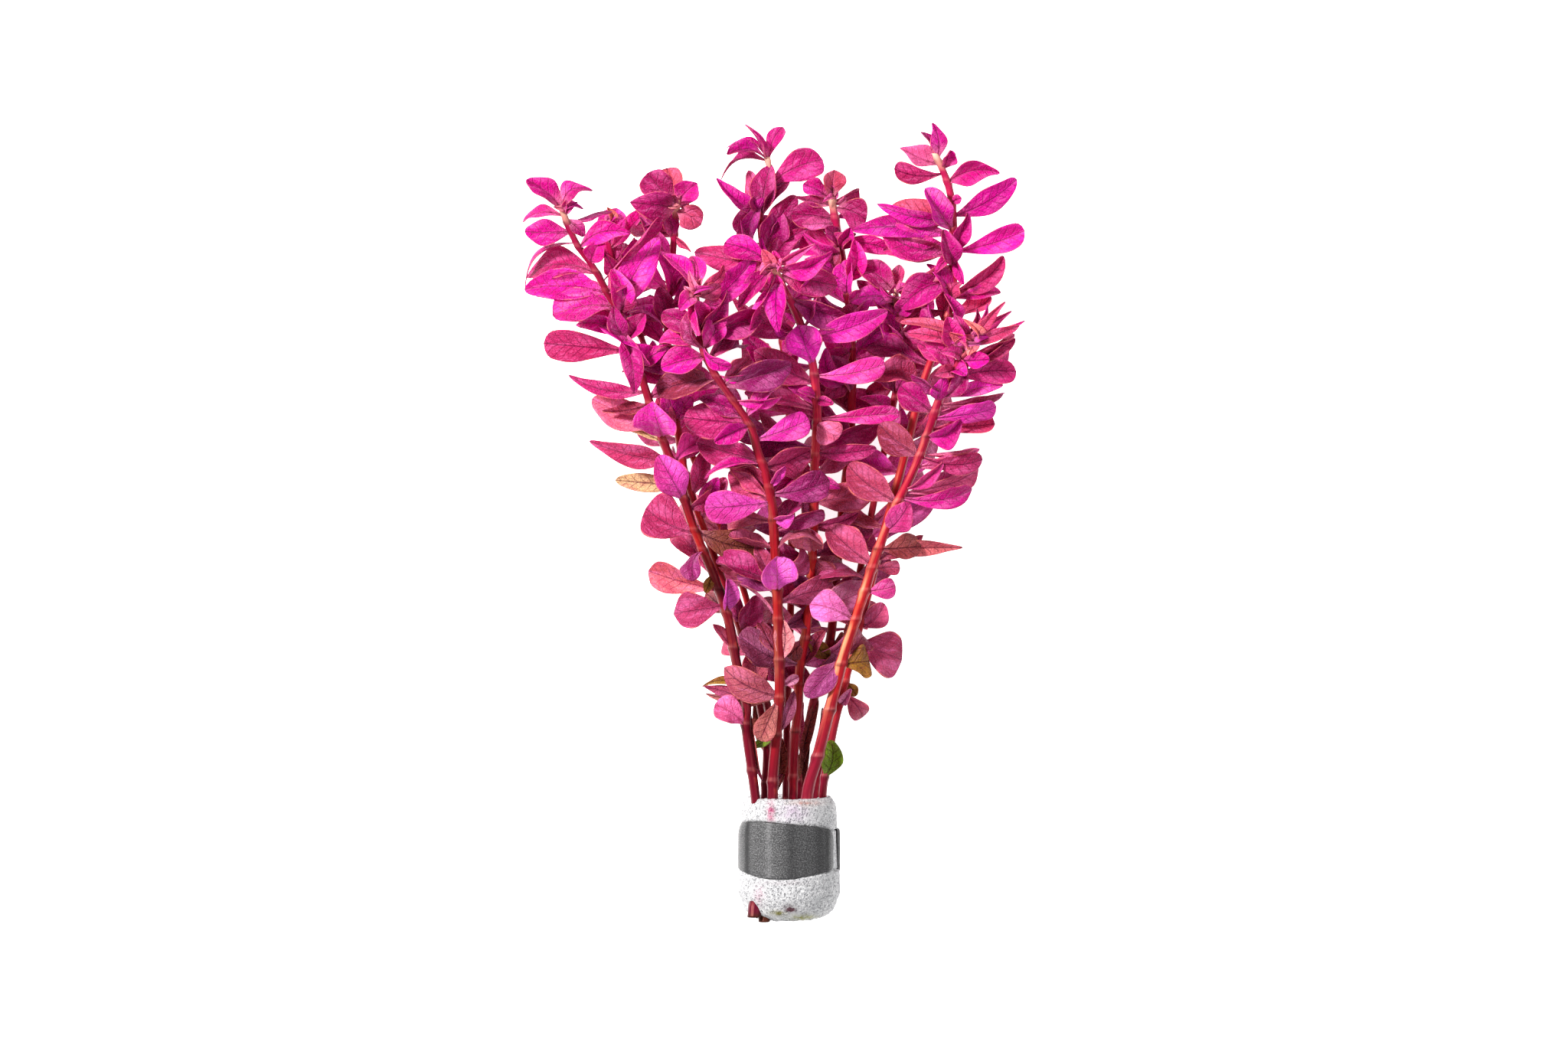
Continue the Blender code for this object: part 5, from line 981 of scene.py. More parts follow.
# A material's nodes, made one call at a time.
class Paint:
    def __init__(self, name):
        self.material = bpy.data.materials.new(name)
        self.material.use_nodes = True
        self.tree = self.material.node_tree
        self.tree.nodes.clear()

    def put(self, socket, value):
        if isinstance(value, bpy.types.NodeSocket):
            self.tree.links.new(value, socket)
        elif isinstance(value, tuple) and len(value) == 3 and socket.type == "RGBA":
            socket.default_value = (*value, 1.0)
        else:
            socket.default_value = value

    def node(self, kind, settings=None, **inputs):
        made = self.tree.nodes.new(kind)
        for key, value in (settings or {}).items():
            setattr(made, key, value)
        for key, value in inputs.items():
            self.put(made.inputs[key.replace("_", " ")], value)
        return made

    def math(self, operation, a, b=None, c=None):
        made = self.tree.nodes.new("ShaderNodeMath")
        made.operation = operation
        for socket, value in zip(made.inputs, (a, b, c)):
            if value is not None:
                self.put(socket, value)
        return made.outputs[0]

    def times(self, a, b):
        return self.math("MULTIPLY", a, b)

    # a times b, plus c.
    def sum(self, a, b, c):
        return self.math("MULTIPLY_ADD", a, b, c)

    # What a leaves of one.
    def rest(self, a):
        return self.math("SUBTRACT", 1.0, a)

    def mix(self, share, a, b, blend="MIX"):
        made = self.tree.nodes.new("ShaderNodeMix")
        made.data_type = "RGBA"
        made.blend_type = blend
        for number, value in ((0, share), (6, a), (7, b)):
            self.put(made.inputs[number], value)
        return made.outputs[2]

    # From 0 at low to 1 at high, smoothly.
    def rise(self, value, low, high):
        made = self.node("ShaderNodeMapRange", {"interpolation_type": "SMOOTHSTEP"}, Value=value,
                         From_Min=low, From_Max=high)
        return made.outputs[0]

    # A colour with another over it, by up to strength as value goes from low to high.
    def over(self, colour, top, value, low, high, strength):
        return self.mix(self.times(self.rise(value, low, high), strength), colour, top)

    def split(self, vector):
        return self.node("ShaderNodeSeparateXYZ", Vector=vector).outputs

    def join(self, x, y, z=0.0):
        return self.node("ShaderNodeCombineXYZ", X=x, Y=y, Z=z).outputs[0]

    def attribute(self, name):
        return self.node("ShaderNodeAttribute", {"attribute_name": name})

    def noise(self, vector, scale, detail=2.0, roughness=0.5):
        made = self.node("ShaderNodeTexNoise", Vector=vector, Scale=scale, Detail=detail, Roughness=roughness)
        return made.outputs[0]

    # Noise on a sheet, with a scale for each way.
    def streaks(self, x, y, scaleX, scaleY, detail=2.0, roughness=0.5):
        place = self.join(self.times(x, scaleX), self.times(y, scaleY))
        return self.noise(place, 1.0, detail, roughness)

    # The two places on a piece's sheet, each from 0 to 1.
    def sheet(self):
        return self.split(self.node("ShaderNodeUVMap", {"uv_map": "UVMap"}).outputs[0])[:2]

    def bump(self, height, distance):
        return self.node("ShaderNodeBump", Height=height, Distance=distance, Strength=1.0).outputs[0]

    def finish(self, shader):
        out = self.tree.nodes.new("ShaderNodeOutputMaterial")
        self.tree.links.new(shader, out.inputs["Surface"])
        return self.material


def newLayers(bm):
    return {
        "blade": bm.verts.layers.float_vector.new("blade"),
        "tint": bm.verts.layers.float_color.new("tint"),
        "under": bm.verts.layers.float_color.new("under"),
        "uv": bm.loops.layers.uv.new("UVMap"),
    }


def newPiece(name, bm, paints, node):
    mesh = bpy.data.meshes.new(name)
    bm.to_mesh(mesh)
    bm.free()
    mesh.shade_smooth()
    piece = bpy.data.objects.new(name, mesh)
    bpy.context.scene.collection.objects.link(piece)
    for paint in paints:
        mesh.materials.append(paint)
    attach(piece, "root")
    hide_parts(node)
    return piece


# A leaf's upper side or underside: midrib, side veins, fine network, mottling, painted sheen and glints, and
# pale margin.
def leafPaint(name, colourName, veinLift, roughness, clear):
    p = Paint(name)
    along, across, lightness = p.split(p.attribute("blade").outputs["Vector"])
    fromFoot, fromLeft = p.sheet()
    side = p.math("ABSOLUTE", p.sum(fromLeft, 2.0, -1.0))
    wide = p.math("ABSOLUTE", across)
    flat = p.join(along, across)
    wobble = p.noise(flat, 3.0)

    rib = p.rest(p.rise(wide, 0.004, p.sum(fromFoot, -0.028, 0.042)))
    lean = p.sum(p.times(wide, wide), -0.9, p.times(wide, 1.15))
    phase = p.math("DIVIDE", p.math("SUBTRACT", along, lean), leafLook["veinStep"] / 10.0)
    phase = p.math("FRACT", p.sum(wobble, 0.6, phase))
    vein = p.rest(p.rise(p.math("ABSOLUTE", p.math("SUBTRACT", phase, 0.5)), 0.0, 0.13))
    vein = p.times(vein, p.rest(p.rise(side, 0.55, 0.95)))
    web = p.node("ShaderNodeTexVoronoi", {"feature": "DISTANCE_TO_EDGE"}, Vector=flat, Scale=11.0)
    net = p.rest(p.rise(web.outputs["Distance"], 0.0, 0.16))
    margin = p.rise(p.sum(wobble, 0.05, side), 0.965, 1.02)

    # red leaves get the pink of the painted sheen, veins and margin, and green and straw ones little of it
    base = p.attribute(colourName).outputs["Color"]
    part = p.node("ShaderNodeSeparateColor", Color=base).outputs
    red = p.rest(p.times(p.math("GREATER_THAN", part[1], part[2]), 0.85))
    sway = p.sum(p.noise(flat, 1.4), 0.35, across)
    dark = p.mix(1.0, base, (0.66, 0.32, 0.50), "MULTIPLY")
    # pale: the colour of the painted sheen, highlights and glints
    pale = p.mix(p.times(red, 0.62), base, leafLook["pale"])
    streaks = p.streaks(along, sway, 1.3, 20.0, 3.0, 0.6)
    patch = p.streaks(along, sway, 1.1, 3.4)
    colour = p.over(base, dark, patch, 0.48, 0.66, 0.7)
    # painted sheen: patches mixed towards pale, more on leaves of greater lightness
    colour = p.over(colour, pale, patch, 0.5, 0.34, p.sum(lightness, 0.9, 0.1))
    colour = p.over(colour, dark, streaks, 0.5, 0.62, 0.42)
    # painted highlight along the pale streaks
    colour = p.over(colour, pale, streaks, 0.46, 0.36, 0.4)
    grain = p.rise(p.noise(flat, 20.0, 3.0, 0.7), 0.38, 0.62)
    colour = p.mix(p.times(grain, 0.36), colour, dark)
    # fine painted glints
    colour = p.over(colour, pale, p.noise(flat, 30.0, 2.0, 0.6), 0.56, 0.7, 0.35)
    deep = p.mix(1.0, base, (0.3, 0.12, 0.3), "MULTIPLY")
    veinColour = p.mix(p.times(lightness, red), deep, leafLook["rib"])
    for line, strength in ((vein, 0.35), (net, 0.15), (rib, 0.6)):
        colour = p.mix(p.times(line, strength), colour, veinColour)
    edge = p.times(p.times(margin, red), 0.5)
    colour = p.over(colour, leafLook["margin"], p.noise(flat, 2.6), 0.4, 0.62, edge)

    height = p.times(p.sum(net, 0.25, p.sum(vein, 0.5, rib)), veinLift)
    height = p.sum(p.noise(flat, 4.0), 1.6, p.sum(streaks, 0.8, height))
    normal = p.bump(height, 0.0004)
    body = p.node("ShaderNodeBsdfPrincipled", Base_Color=colour, Roughness=p.sum(grain, 0.1, roughness),
                  Normal=normal, Specular_IOR_Level=0.3, Specular_Tint=leafLook["gloss"])
    warm = p.mix(p.times(red, 0.35), colour, leafLook["glow"])
    glow = p.node("ShaderNodeBsdfTranslucent", Color=warm, Normal=normal)
    both = p.node("ShaderNodeMixShader", Fac=clear)
    p.tree.links.new(body.outputs[0], both.inputs[1])
    p.tree.links.new(glow.outputs[0], both.inputs[2])
    return p.finish(both.outputs[0])


# The share of a leaf's full half width at t, with a rounded or pointed tip.
def halfShare(outline, t):
    rows = outlines[outline]
    start, share = rows[-2]
    if t >= start:
        reach = (t - start) / (1.0 - start)
        return share * max(0.0, 1.0 - reach * reach) ** tipPower[outline]
    return max(smooth(rows[:-1], t), 0.08)


# The colours of a leaf's two sides, by its height and by chance, and how much painted sheen it has.
def leafColours(leaf, ease, high, draw):
    low = 1.0 - ramp(leaf.height, *leafLook["low"])
    bright = draw.uniform(0.72, 1.14) if ease > 0.8 else draw.uniform(0.92, 1.1)
    # leaves from 120 to 180 mm up are painted lighter to lift the shade among them, and those at the crest
    # darker
    bright *= 1.0 + 0.18 * high - 0.30 * ramp(leaf.height, *leafLook["crest"])
    hue = draw.uniform(-1.0, 1.0)
    lightness = draw.uniform(0.2, 1.0) if leaf.tint in "mldp" else draw.uniform(0.0, 0.5)
    if leaf.tint in "md":
        lightness *= 1.0 - 0.5 * high
    tint = leaf.dye
    cool = not leaf.listed and leaf.height < leafLook["cool"] and tint in "lpu"
    if cool and draw.random() < leafLook["turned"]:
        tint = draw.choice("rd")
    slot, upper, under, old = tints[tint]
    colours = []
    for colour in (upper, under):
        colour = Vector(colour).lerp(Vector(old), low)
        if tint == "l":
            colour = colour.lerp(Vector(tints["m"][1]), 0.65 * high)
        red, green, blue = colour * bright
        if leaf.tint not in "gyo":
            green = green * (1.0 + 0.3 * hue) + 0.05 * max(0.0, hue) ** 2 * (1.0 - 0.75 * high)
            blue *= (1.0 - 0.16 * hue) * (1.0 + 0.06 * high)
        colours.append((red, green, blue))
    return colours, lightness


# One leaf blade as a grid: x across and y along, with a fold at the midrib, a cupped blade and wavy edges.
def addLeaf(bm, layers, leaf, draw):
    ease = leafLook["stray"][0 if leaf.own else 1 if leaf.listed else 2]
    plain = leaf.tint in "gyo"
    if plain:
        ease *= 0.4
    loose = 0.4 + 0.6 * ease
    high = ramp(leaf.height, *leafLook["high"])
    fold = draw.uniform(*leafLook["fold"]) * loose * (1.0 + 0.5 * ease * ease * high)
    cup = leafLook["cup"] * draw.uniform(-1.0, 1.0) * ease
    ripple = leafLook["ripple"] * draw.uniform(0.3, 1.3)
    waves = draw.uniform(*leafLook["waves"])
    shift = draw.uniform(0.0, 1.0)
    roll = math.radians(draw.uniform(-1.0, 1.0) * leafLook["twist"] * ease)
    tilt = math.radians(draw.uniform(-1.0, 1.0) * leafLook["roll"] * ease)
    if leaf.level:
        roll = tilt = 0.0
    droop = draw.uniform(*leafLook["droop"]) * loose
    arch = leaf.arch + draw.uniform(*leafLook["arch"]) * ease
    bend = leaf.left + draw.uniform(-1.0, 1.0) * leafLook["bow"] * ease * ease
    colours, lightness = leafColours(leaf, ease, high, draw)
    halfShade = draw.uniform(-0.34, 0.34) * (0.5 + 0.5 * ease)
    lengthShade = draw.uniform(-0.3, 0.3) * (0.5 + 0.5 * ease)
    pale = Vector(leafLook["base"])
    near = ramp(leaf.fromTip, 9.0, 0.0)
    along = (leaf.tip - leaf.root).normalized()
    made = bmesh.ops.create_grid(bm, x_segments=leafLook["across"], y_segments=leafLook["along"], size=0.5)
    for v in made["verts"]:
        s = 2.0 * v.co.x
        t = (v.co.y + 0.5) * (1.32 - 0.32 * (v.co.y + 0.5))
        edge = noise.noise(Vector((3.0 * t, 9.0 * shift, math.copysign(2.0, s))))
        half = 0.5 * leaf.width * halfShare(leaf.outline, t) * (1.0 + 0.1 * edge)
        bow = 4.0 * t * (1.0 - t)
        lean = roll * (t - 0.35) + tilt * min(1.0, 3.0 * t)
        if ease < 0.9:
            half /= max(0.7, math.cos(lean))
        turn = Matrix.Rotation(lean, 3, along)
        point = leaf.root.lerp(leaf.tip, t) + leaf.up * (arch * bow) + leaf.bowSide * (bend * bow)
        rise = half * (fold * abs(s) ** 0.85 + cup * (s * s - 0.4))
        wave = math.sin(2.0 * math.pi * (waves * t + shift + (0.37 if s < 0.0 else 0.0)))
        rise += ripple * half * wave * abs(s) ** 2.2
        rise -= droop * max(0.0, (t - 0.55) / 0.45) ** 2
        point += turn @ leaf.across * (s * half) + turn @ leaf.up * rise
        point.z = max(point.z, 0.5 * leafLook["thick"])
        v.co = (point + move) * mm
        v[layers["blade"]] = Vector((t * leaf.length / 10.0, s * half / 10.0, lightness))

        # paler at the foot, most of all in the buds, partly the leaves' own paler base and partly a painted
        # glint where they leave the stem;
        # then painted shade: one half of the fold lit and the other shaded, and lighter or darker from foot
        # to tip
        fade = (0.35 + 0.5 * lightness) * max(0.0, 1.0 - t / 0.3) ** 2 * (0.3 if plain else 1.0)
        fade = max(fade, 0.9 * near * max(0.0, 1.0 - t * leaf.length / 4.0))
        paintedShade = halfShade * max(-1.0, min(1.0, 3.0 * s)) + lengthShade * (2.0 * t - 1.0)
        for layer, (red, green, blue) in zip((layers["tint"], layers["under"]), colours):
            shaded = Vector((red * (1.0 + 0.55 * paintedShade), (green + 0.02 * max(0.0, paintedShade)) * (1.0 + paintedShade),
                             blue * (1.0 + paintedShade)))
            v[layer] = (*shaded.lerp(pale, fade), 1.0)
        for loop in v.link_loops:
            loop[layers["uv"]].uv = (t, 0.5 + 0.5 * s)
    tips = [v for v in made["verts"] if (v.co / mm - move - leaf.tip).length < 1.5]
    bmesh.ops.remove_doubles(bm, verts=tips, dist=1e-6)


def leafPiece(name, leaves, node):
    draw = random.Random(name)
    bm = bmesh.new()
    layers = newLayers(bm)
    for leaf in leaves:
        addLeaf(bm, layers, leaf, draw)
    piece = newPiece(name, bm, (leafUpper, leafUnder), node)
    wall = piece.modifiers.new("thickness", "SOLIDIFY")
    wall.thickness = leafLook["thick"] * mm
    wall.offset = 0.0
    wall.material_offset = 1
    finer = piece.modifiers.new("smooth", "SUBSURF")
    finer.levels = 1
    finer.render_levels = 1
    return piece


stemLook = {
    "sides": 16, "step": 0.55, "swell": 0.2, "swellLength": 0.9,
    # the usual and the least distance between joints, and the height of the lowest
    "joint": 13.0, "jointGap": 5.0, "jointLow": 30.0,
    # light is the colour of the painted highlight on a stem's lit side; deep is the stem's own dark crimson
    # low down and also the painted shade on the side away from the light
    "front": (0.40, 0.007, 0.013), "deep": (0.17, 0.003, 0.018), "tip": (0.32, 0.003, 0.058),
    "light": (0.92, 0.40, 0.20), "low": (0.17, 0.006, 0.022), "foam": (0.11, 0.0, 0.02),
    "bud": (0.86, 0.50, 0.36), "ring": (0.72, 0.30, 0.28), "scar": (0.05, 0.010, 0.014),
    "cut": (0.045, 0.012, 0.006), "blotch": (0.60, 0.06, 0.02), "gloss": (1.0, 0.36, 0.30),
    # the side that faces the light, where the painted highlight lies
    "facing": 2.2,
}
# How each stem differs: how far up it stays dark, how strong the painted highlight on its lit side is, how
# dark it is near the foam, how much thicker it is at the cut and from half way up, and how bright it is.
stemPlain = {"warm": 0.0, "shine": 0.06, "sink": 0.15, "foot": 0.0, "stout": 0.25, "bright": 1.0}
stemOwn = {
    "right_front": {"warm": 0.2, "shine": 1.0, "sink": 0.85, "stout": 0.12},
    "left_front": {"warm": -0.4, "foot": 0.55, "stout": 0.34, "bright": 0.66},
    "centre_left": {"warm": -0.1, "shine": 0.25, "sink": 0.2, "stout": 0.28, "bright": 0.7},
    "centre": {"warm": 0.15, "shine": 0.25, "stout": 0.2, "bright": 1.12},
    "right_tall": {"warm": 0.1, "shine": 0.25, "sink": 0.5, "stout": 0.42},
    "left_back": {"warm": -0.25, "foot": 0.9, "stout": 0.42},
    "top_back": {"warm": -0.3},
    "centre_right": {"warm": -0.3, "stout": 0.46},
    "right_middle": {"warm": -0.2},
    "left_middle": {"warm": -0.2, "bright": 0.85},
}


def stemPaint():
    p = Paint("stem_surface")
    around, up = p.sheet()
    base = p.attribute("tint").outputs["Color"]
    streaks = p.streaks(around, up, 14.0, 9.0, 3.0)
    blotch = p.streaks(around, up, 3.0, 40.0, 3.0)
    dark = p.mix(1.0, base, (0.38, 0.25, 0.45), "MULTIPLY")
    colour = p.over(base, dark, streaks, 0.42, 0.7, 0.6)
    colour = p.over(colour, stemLook["blotch"], blotch, 0.55, 0.75, 0.25)
    normal = p.bump(p.sum(blotch, 0.6, streaks), 0.00018)
    body = p.node("ShaderNodeBsdfPrincipled", Base_Color=colour, Roughness=0.36, Normal=normal,
                  Specular_IOR_Level=0.32, Specular_Tint=stemLook["gloss"])
    return p.finish(body.outputs[0])


# The joints of a stem: where its listed leaves grow, and on down to the foam.
def joints(stem):
    found = []
    for height in sorted(stem.realHeight(row[0]) for row in leafTable[stem.name]):
        if not found or height - found[-1] > stemLook["jointGap"]:
            found.append(height)
    while found[0] - stemLook["joint"] > stemLook["jointLow"]:
        found.insert(0, found[0] - stemLook["joint"])
    return found


# A stem: a round sheet along its line, thicker where its leaves grow, with a pale ring and a scar there, and
# a painted highlight and painted shade along its sides.
def stemPiece(name, stem):
    draw = random.Random(name)
    rings = [(y, draw.uniform(0.5, 1.0), draw.uniform(0.0, 2.0 * math.pi)) for y in joints(stem)]
    count = int((stem.high - stem.low) / stemLook["step"])
    shift = draw.uniform(0.0, 9.0)
    own = {**stemPlain, **stemOwn[stem.name]}
    colours = {key: Vector(value) for key, value in stemLook.items() if isinstance(value, tuple)}
    bm = bmesh.new()
    layers = newLayers(bm)
    made = bmesh.ops.create_grid(bm, x_segments=stemLook["sides"], y_segments=count, size=0.5)
    for v in made["verts"]:
        u = v.co.x + 0.5
        share = v.co.y + 0.5
        y = stem.low + (stem.high - stem.low) * share
        angle = 2.0 * math.pi * u
        swell = ring = groove = mark = 0.0
        for at, strength, facing in rings:
            swell = max(swell, math.exp(-((y - at) / stemLook["swellLength"]) ** 2))
            ring = max(ring, strength * math.exp(-((y - at - 0.7) / 0.4) ** 2))
            groove = max(groove, strength * math.exp(-((y - at) / 0.35) ** 2))
            mark = max(mark, math.exp(-((y - at) / 0.5) ** 2) * max(0.0, math.cos(angle - facing)) ** 4)
        wobble = noise.noise(Vector((y * 0.11, shift, 0.0)))
        radius = stem.radius(y) * (1.0 + stemLook["swell"] * swell + 0.06 * wobble)
        radius *= 1.0 + own["stout"] * min(1.0, 2.0 * share)
        radius *= 1.0 + own["foot"] * ramp(y, 8.0, 4.0)
        v.co = (stem.at(y) + Vector((math.cos(angle) * radius, 0.0, math.sin(angle) * radius)) + move) * mm

        # each colour goes over those before it
        # painted highlight: a lighter band along the side that faces the light, broken up and fading towards
        # the tip; below, deep by angle is painted shade on the far side
        paintedHighlight = math.exp(-((angle - stemLook["facing"]) / 0.34) ** 2) * ramp(y, 46.0, 71.0)
        paintedHighlight *= (1.0 - 0.7 * max(0.0, share - 0.5)) * min(1.0, max(0.15, 0.75 + 2.0 * wobble))
        colour = colours["front"]
        for key, amount in (
                ("deep", min(1.0, max(0.0, 1.35 - own["warm"] - 2.3 * share + 0.9 * wobble))),
                ("deep", 0.6 * max(0.0, math.cos(angle) - 0.1)), ("light", own["shine"] * paintedHighlight),
                ("low", own["sink"] * ramp(y, 66.0, 46.0)), ("foam", ramp(y, 12.0, 8.0)),
                ("tip", ramp(share, 0.55, 1.0)), ("bud", ramp(y, stem.high - 5.0, stem.high)),
                ("ring", 0.2 * ring), ("scar", 0.3 * groove), ("scar", 0.8 * mark),
                ("cut", ramp(y, 2.6, 1.2))):
            colour = colour.lerp(colours[key], amount)
        v[layers["tint"]] = (*(colour * own["bright"]), 1.0)
        for loop in v.link_loops:
            loop[layers["uv"]].uv = (u, share)
    bmesh.ops.remove_doubles(bm, verts=bm.verts, dist=1e-7)
    ends = [e for e in bm.edges if e.is_boundary]
    bmesh.ops.holes_fill(bm, edges=ends, sides=stemLook["sides"])
    bmesh.ops.recalc_face_normals(bm, faces=bm.faces)
    return newPiece(name, bm, (stemSurface,), stem.name)


def foamPaint():
    p = Paint("foam_surface")
    place = p.node("ShaderNodeTexCoord").outputs["Object"]
    colour = p.over(foam["colour"], foam["pale"], p.noise(place, 160.0, 3.0), 0.35, 0.7, 0.4)
    # the pores are painted darker: painted shade in their small hollows
    pores = []
    for scale, low, high in ((1250.0, 0.16, 0.44), (2600.0, 0.14, 0.46)):
        cells = p.node("ShaderNodeTexVoronoi", {"feature": "F1"}, Vector=place, Scale=scale, Randomness=1.0)
        pores.append(p.rest(p.rise(cells.outputs["Distance"], low, high)))
        colour = p.mix(p.times(pores[-1], 0.6), colour, foam["pores"])
    colour = p.over(colour, foam["spark"], p.noise(place, 1500.0, 2.0, 0.7), 0.54, 0.66, 0.7)
    dots = p.rise(p.noise(place, 800.0), 0.4, 0.62)
    mark = p.times(p.attribute("amount").outputs["Fac"], p.sum(dots, 0.5, 0.5))
    colour = p.mix(mark, colour, p.attribute("mark").outputs["Color"])
    normal = p.bump(p.sum(pores[0], -1.0, p.times(pores[1], -0.5)), 0.0003)
    body = p.node("ShaderNodeBsdfPrincipled", Base_Color=colour, Roughness=0.75, Normal=normal,
                  Subsurface_Weight=0.15, Subsurface_Scale=0.001, Subsurface_Radius=(1.0, 1.0, 1.0))
    return p.finish(body.outputs[0])


# The foam: its turned outline, pressed in under the lead strip, with a lap, bumps and stains.
def foamPiece():
    outline = [(3.0, 0.0), (0.7, 8.6)] + list(foam["outline"]) + [(33.8, 10.6), (31.8, 0.0)]
    lengths = [0.0]
    for (y0, r0), (y1, r1) in zip(outline, outline[1:]):
        lengths.append(lengths[-1] + math.hypot(y1 - y0, r1 - r0))
    heightAt, radiusAt = (list(zip(lengths, [row[i] for row in outline])) for i in (0, 1))
    bm = bmesh.new()
    newLayers(bm)
    amount = bm.verts.layers.float.new("amount")
    mark = bm.verts.layers.float_color.new("mark")
    made = bmesh.ops.create_grid(bm, x_segments=foam["sides"], y_segments=foam["rows"], size=0.5)
    for v in made["verts"]:
        u = v.co.x + 0.5
        reach = (v.co.y + 0.5) * lengths[-1]
        y = between(heightAt, reach)
        radius = between(radiusAt, reach)
        angle = 2.0 * math.pi * u + math.radians(foam["lapAngle"])
        degrees = math.degrees(angle) % 360.0
        if radius > foam["wrap"]:
            top = smooth(lead["top"], degrees) - 0.1
            bottom = smooth(lead["bottom"], degrees) + 0.1
            y = between(((0.0, 0.0), (10.6, bottom - 0.5), (11.8, bottom), (28.1, top), (29.0, top + 0.4),
                         (34.2, 34.2)), y)
            if bottom < y < top:
                radius += foam["bulge"] * max(
                    between(foam["opening"], at) for at in (degrees, degrees - 360.0))
        radius -= foam["lap"] * u * min(1.0, radius / 8.0)
        place = Vector((math.cos(angle) * radius, y, math.sin(angle) * radius))
        rough = noise.fractal(place / foam["bumpSize"], 0.7, 2.0, 3)
        free = min(1.0, radius / 4.0)
        if radius > foam["wrap"] and bottom < y < top:
            free = 0.15
        if radius < foam["core"]:
            y += foam["layerRise"] * math.sin(2.0 * math.pi * (radius / foam["layers"] + u)) * free
        radius += foam["bumps"] * rough * free
        y += foam["bumps"] * noise.noise(place * 0.9 + Vector((7.0, 0.0, 0.0))) * free
        point = Vector((math.cos(angle) * radius, y, foam["axisZ"] + math.sin(angle) * radius))
        point.z = max(point.z, 0.0)
        v[amount] = 0.0
        for x, y, halfX, halfY, strength, colour in foam["stains"]:
            here = strength * math.exp(-((point.x - x) / halfX) ** 2 - ((point.y - y) / halfY) ** 2)
            if here > v[amount] and point.z > foam["axisZ"] - 4.0:
                v[amount] = here
                v[mark] = (*colour, 1.0)
        v.co = (point + move) * mm
    bmesh.ops.remove_doubles(bm, verts=bm.verts, dist=1e-6)
    bmesh.ops.recalc_face_normals(bm, faces=bm.faces)
    return newPiece("foam_roll", bm, (foamSurface,), "foam_wrap")


lead = {
    "radius": 13.5, "thick": 0.8, "start": 27.5, "end": 364.0, "flare": 2.0, "corner": 3.0,
    "columns": 220, "rows": 16, "bevel": 0.15,
    "edge": (0.20, 0.20, 0.205),
    # the height of its two edges by angle
    "top": ((20, 24.9), (44, 25.8), (70, 26.6), (90, 27.1), (120, 27.6), (142, 27.5), (165, 26.9),
            (190, 26.2), (270, 25.8), (366, 24.7)),
    "bottom": ((20, 13.9), (44, 13.6), (68, 12.9), (90, 12.1), (120, 12.2), (142, 13), (165, 13.7), (190, 14),
               (270, 13.5), (366, 12.9)),
    # the angle, half width and strength of each band of painted shade, or of painted reflection if below zero
    "bands": ((145.0, 6.0, 0.9), (88.0, 8.0, 0.4), (68.0, 24.0, 0.35), (50.0, 8.0, 0.4), (40.0, 4.0, 0.6),
              (28.0, 6.0, -1.0), (113.0, 5.0, -0.45), (173.0, 11.0, -0.8)),
    "colour": (0.058, 0.058, 0.060), "dark": (0.014, 0.014, 0.015), "light": (0.21, 0.21, 0.215),
}


# Brushed and speckled grey metal, darker in bands of painted shade and lighter in bands of painted
# reflection.
def leadPaint(name, colour):
    p = Paint(name)
    around, up = p.sheet()
    brushed = p.streaks(around, up, 5.0, 60.0, 4.0, 0.6)
    wear = p.streaks(around, up, 40.0, 5.0, 3.0)
    specks = p.streaks(around, up, 210.0, 38.0, 4.0, 0.8)
    shade = p.attribute("shade").outputs["Fac"]
    dim = p.rise(shade, 0.0, 1.0)
    colour = p.mix(dim, colour, lead["dark"])
    colour = p.mix(p.rise(p.times(shade, -1.0), 0.0, 1.0), colour, lead["light"])
    colour = p.over(colour, lead["dark"], wear, 0.4, 0.7, 0.3)
    colour = p.over(colour, lead["light"], specks, 0.5, 0.6, p.sum(dim, -0.7, 0.75))
    colour = p.over(colour, lead["dark"], specks, 0.48, 0.38, 0.7)
    colour = p.over(colour, lead["dark"], brushed, 0.45, 0.7, 0.3)
    normal = p.bump(p.sum(brushed, 0.5, p.sum(specks, 0.5, wear)), 0.00018)
    body = p.node("ShaderNodeBsdfPrincipled", Base_Color=colour, Metallic=0.15,
                  Roughness=p.sum(wear, 0.15, 0.45), Normal=normal, Specular_IOR_Level=0.15)
    return p.finish(body.outputs[0])


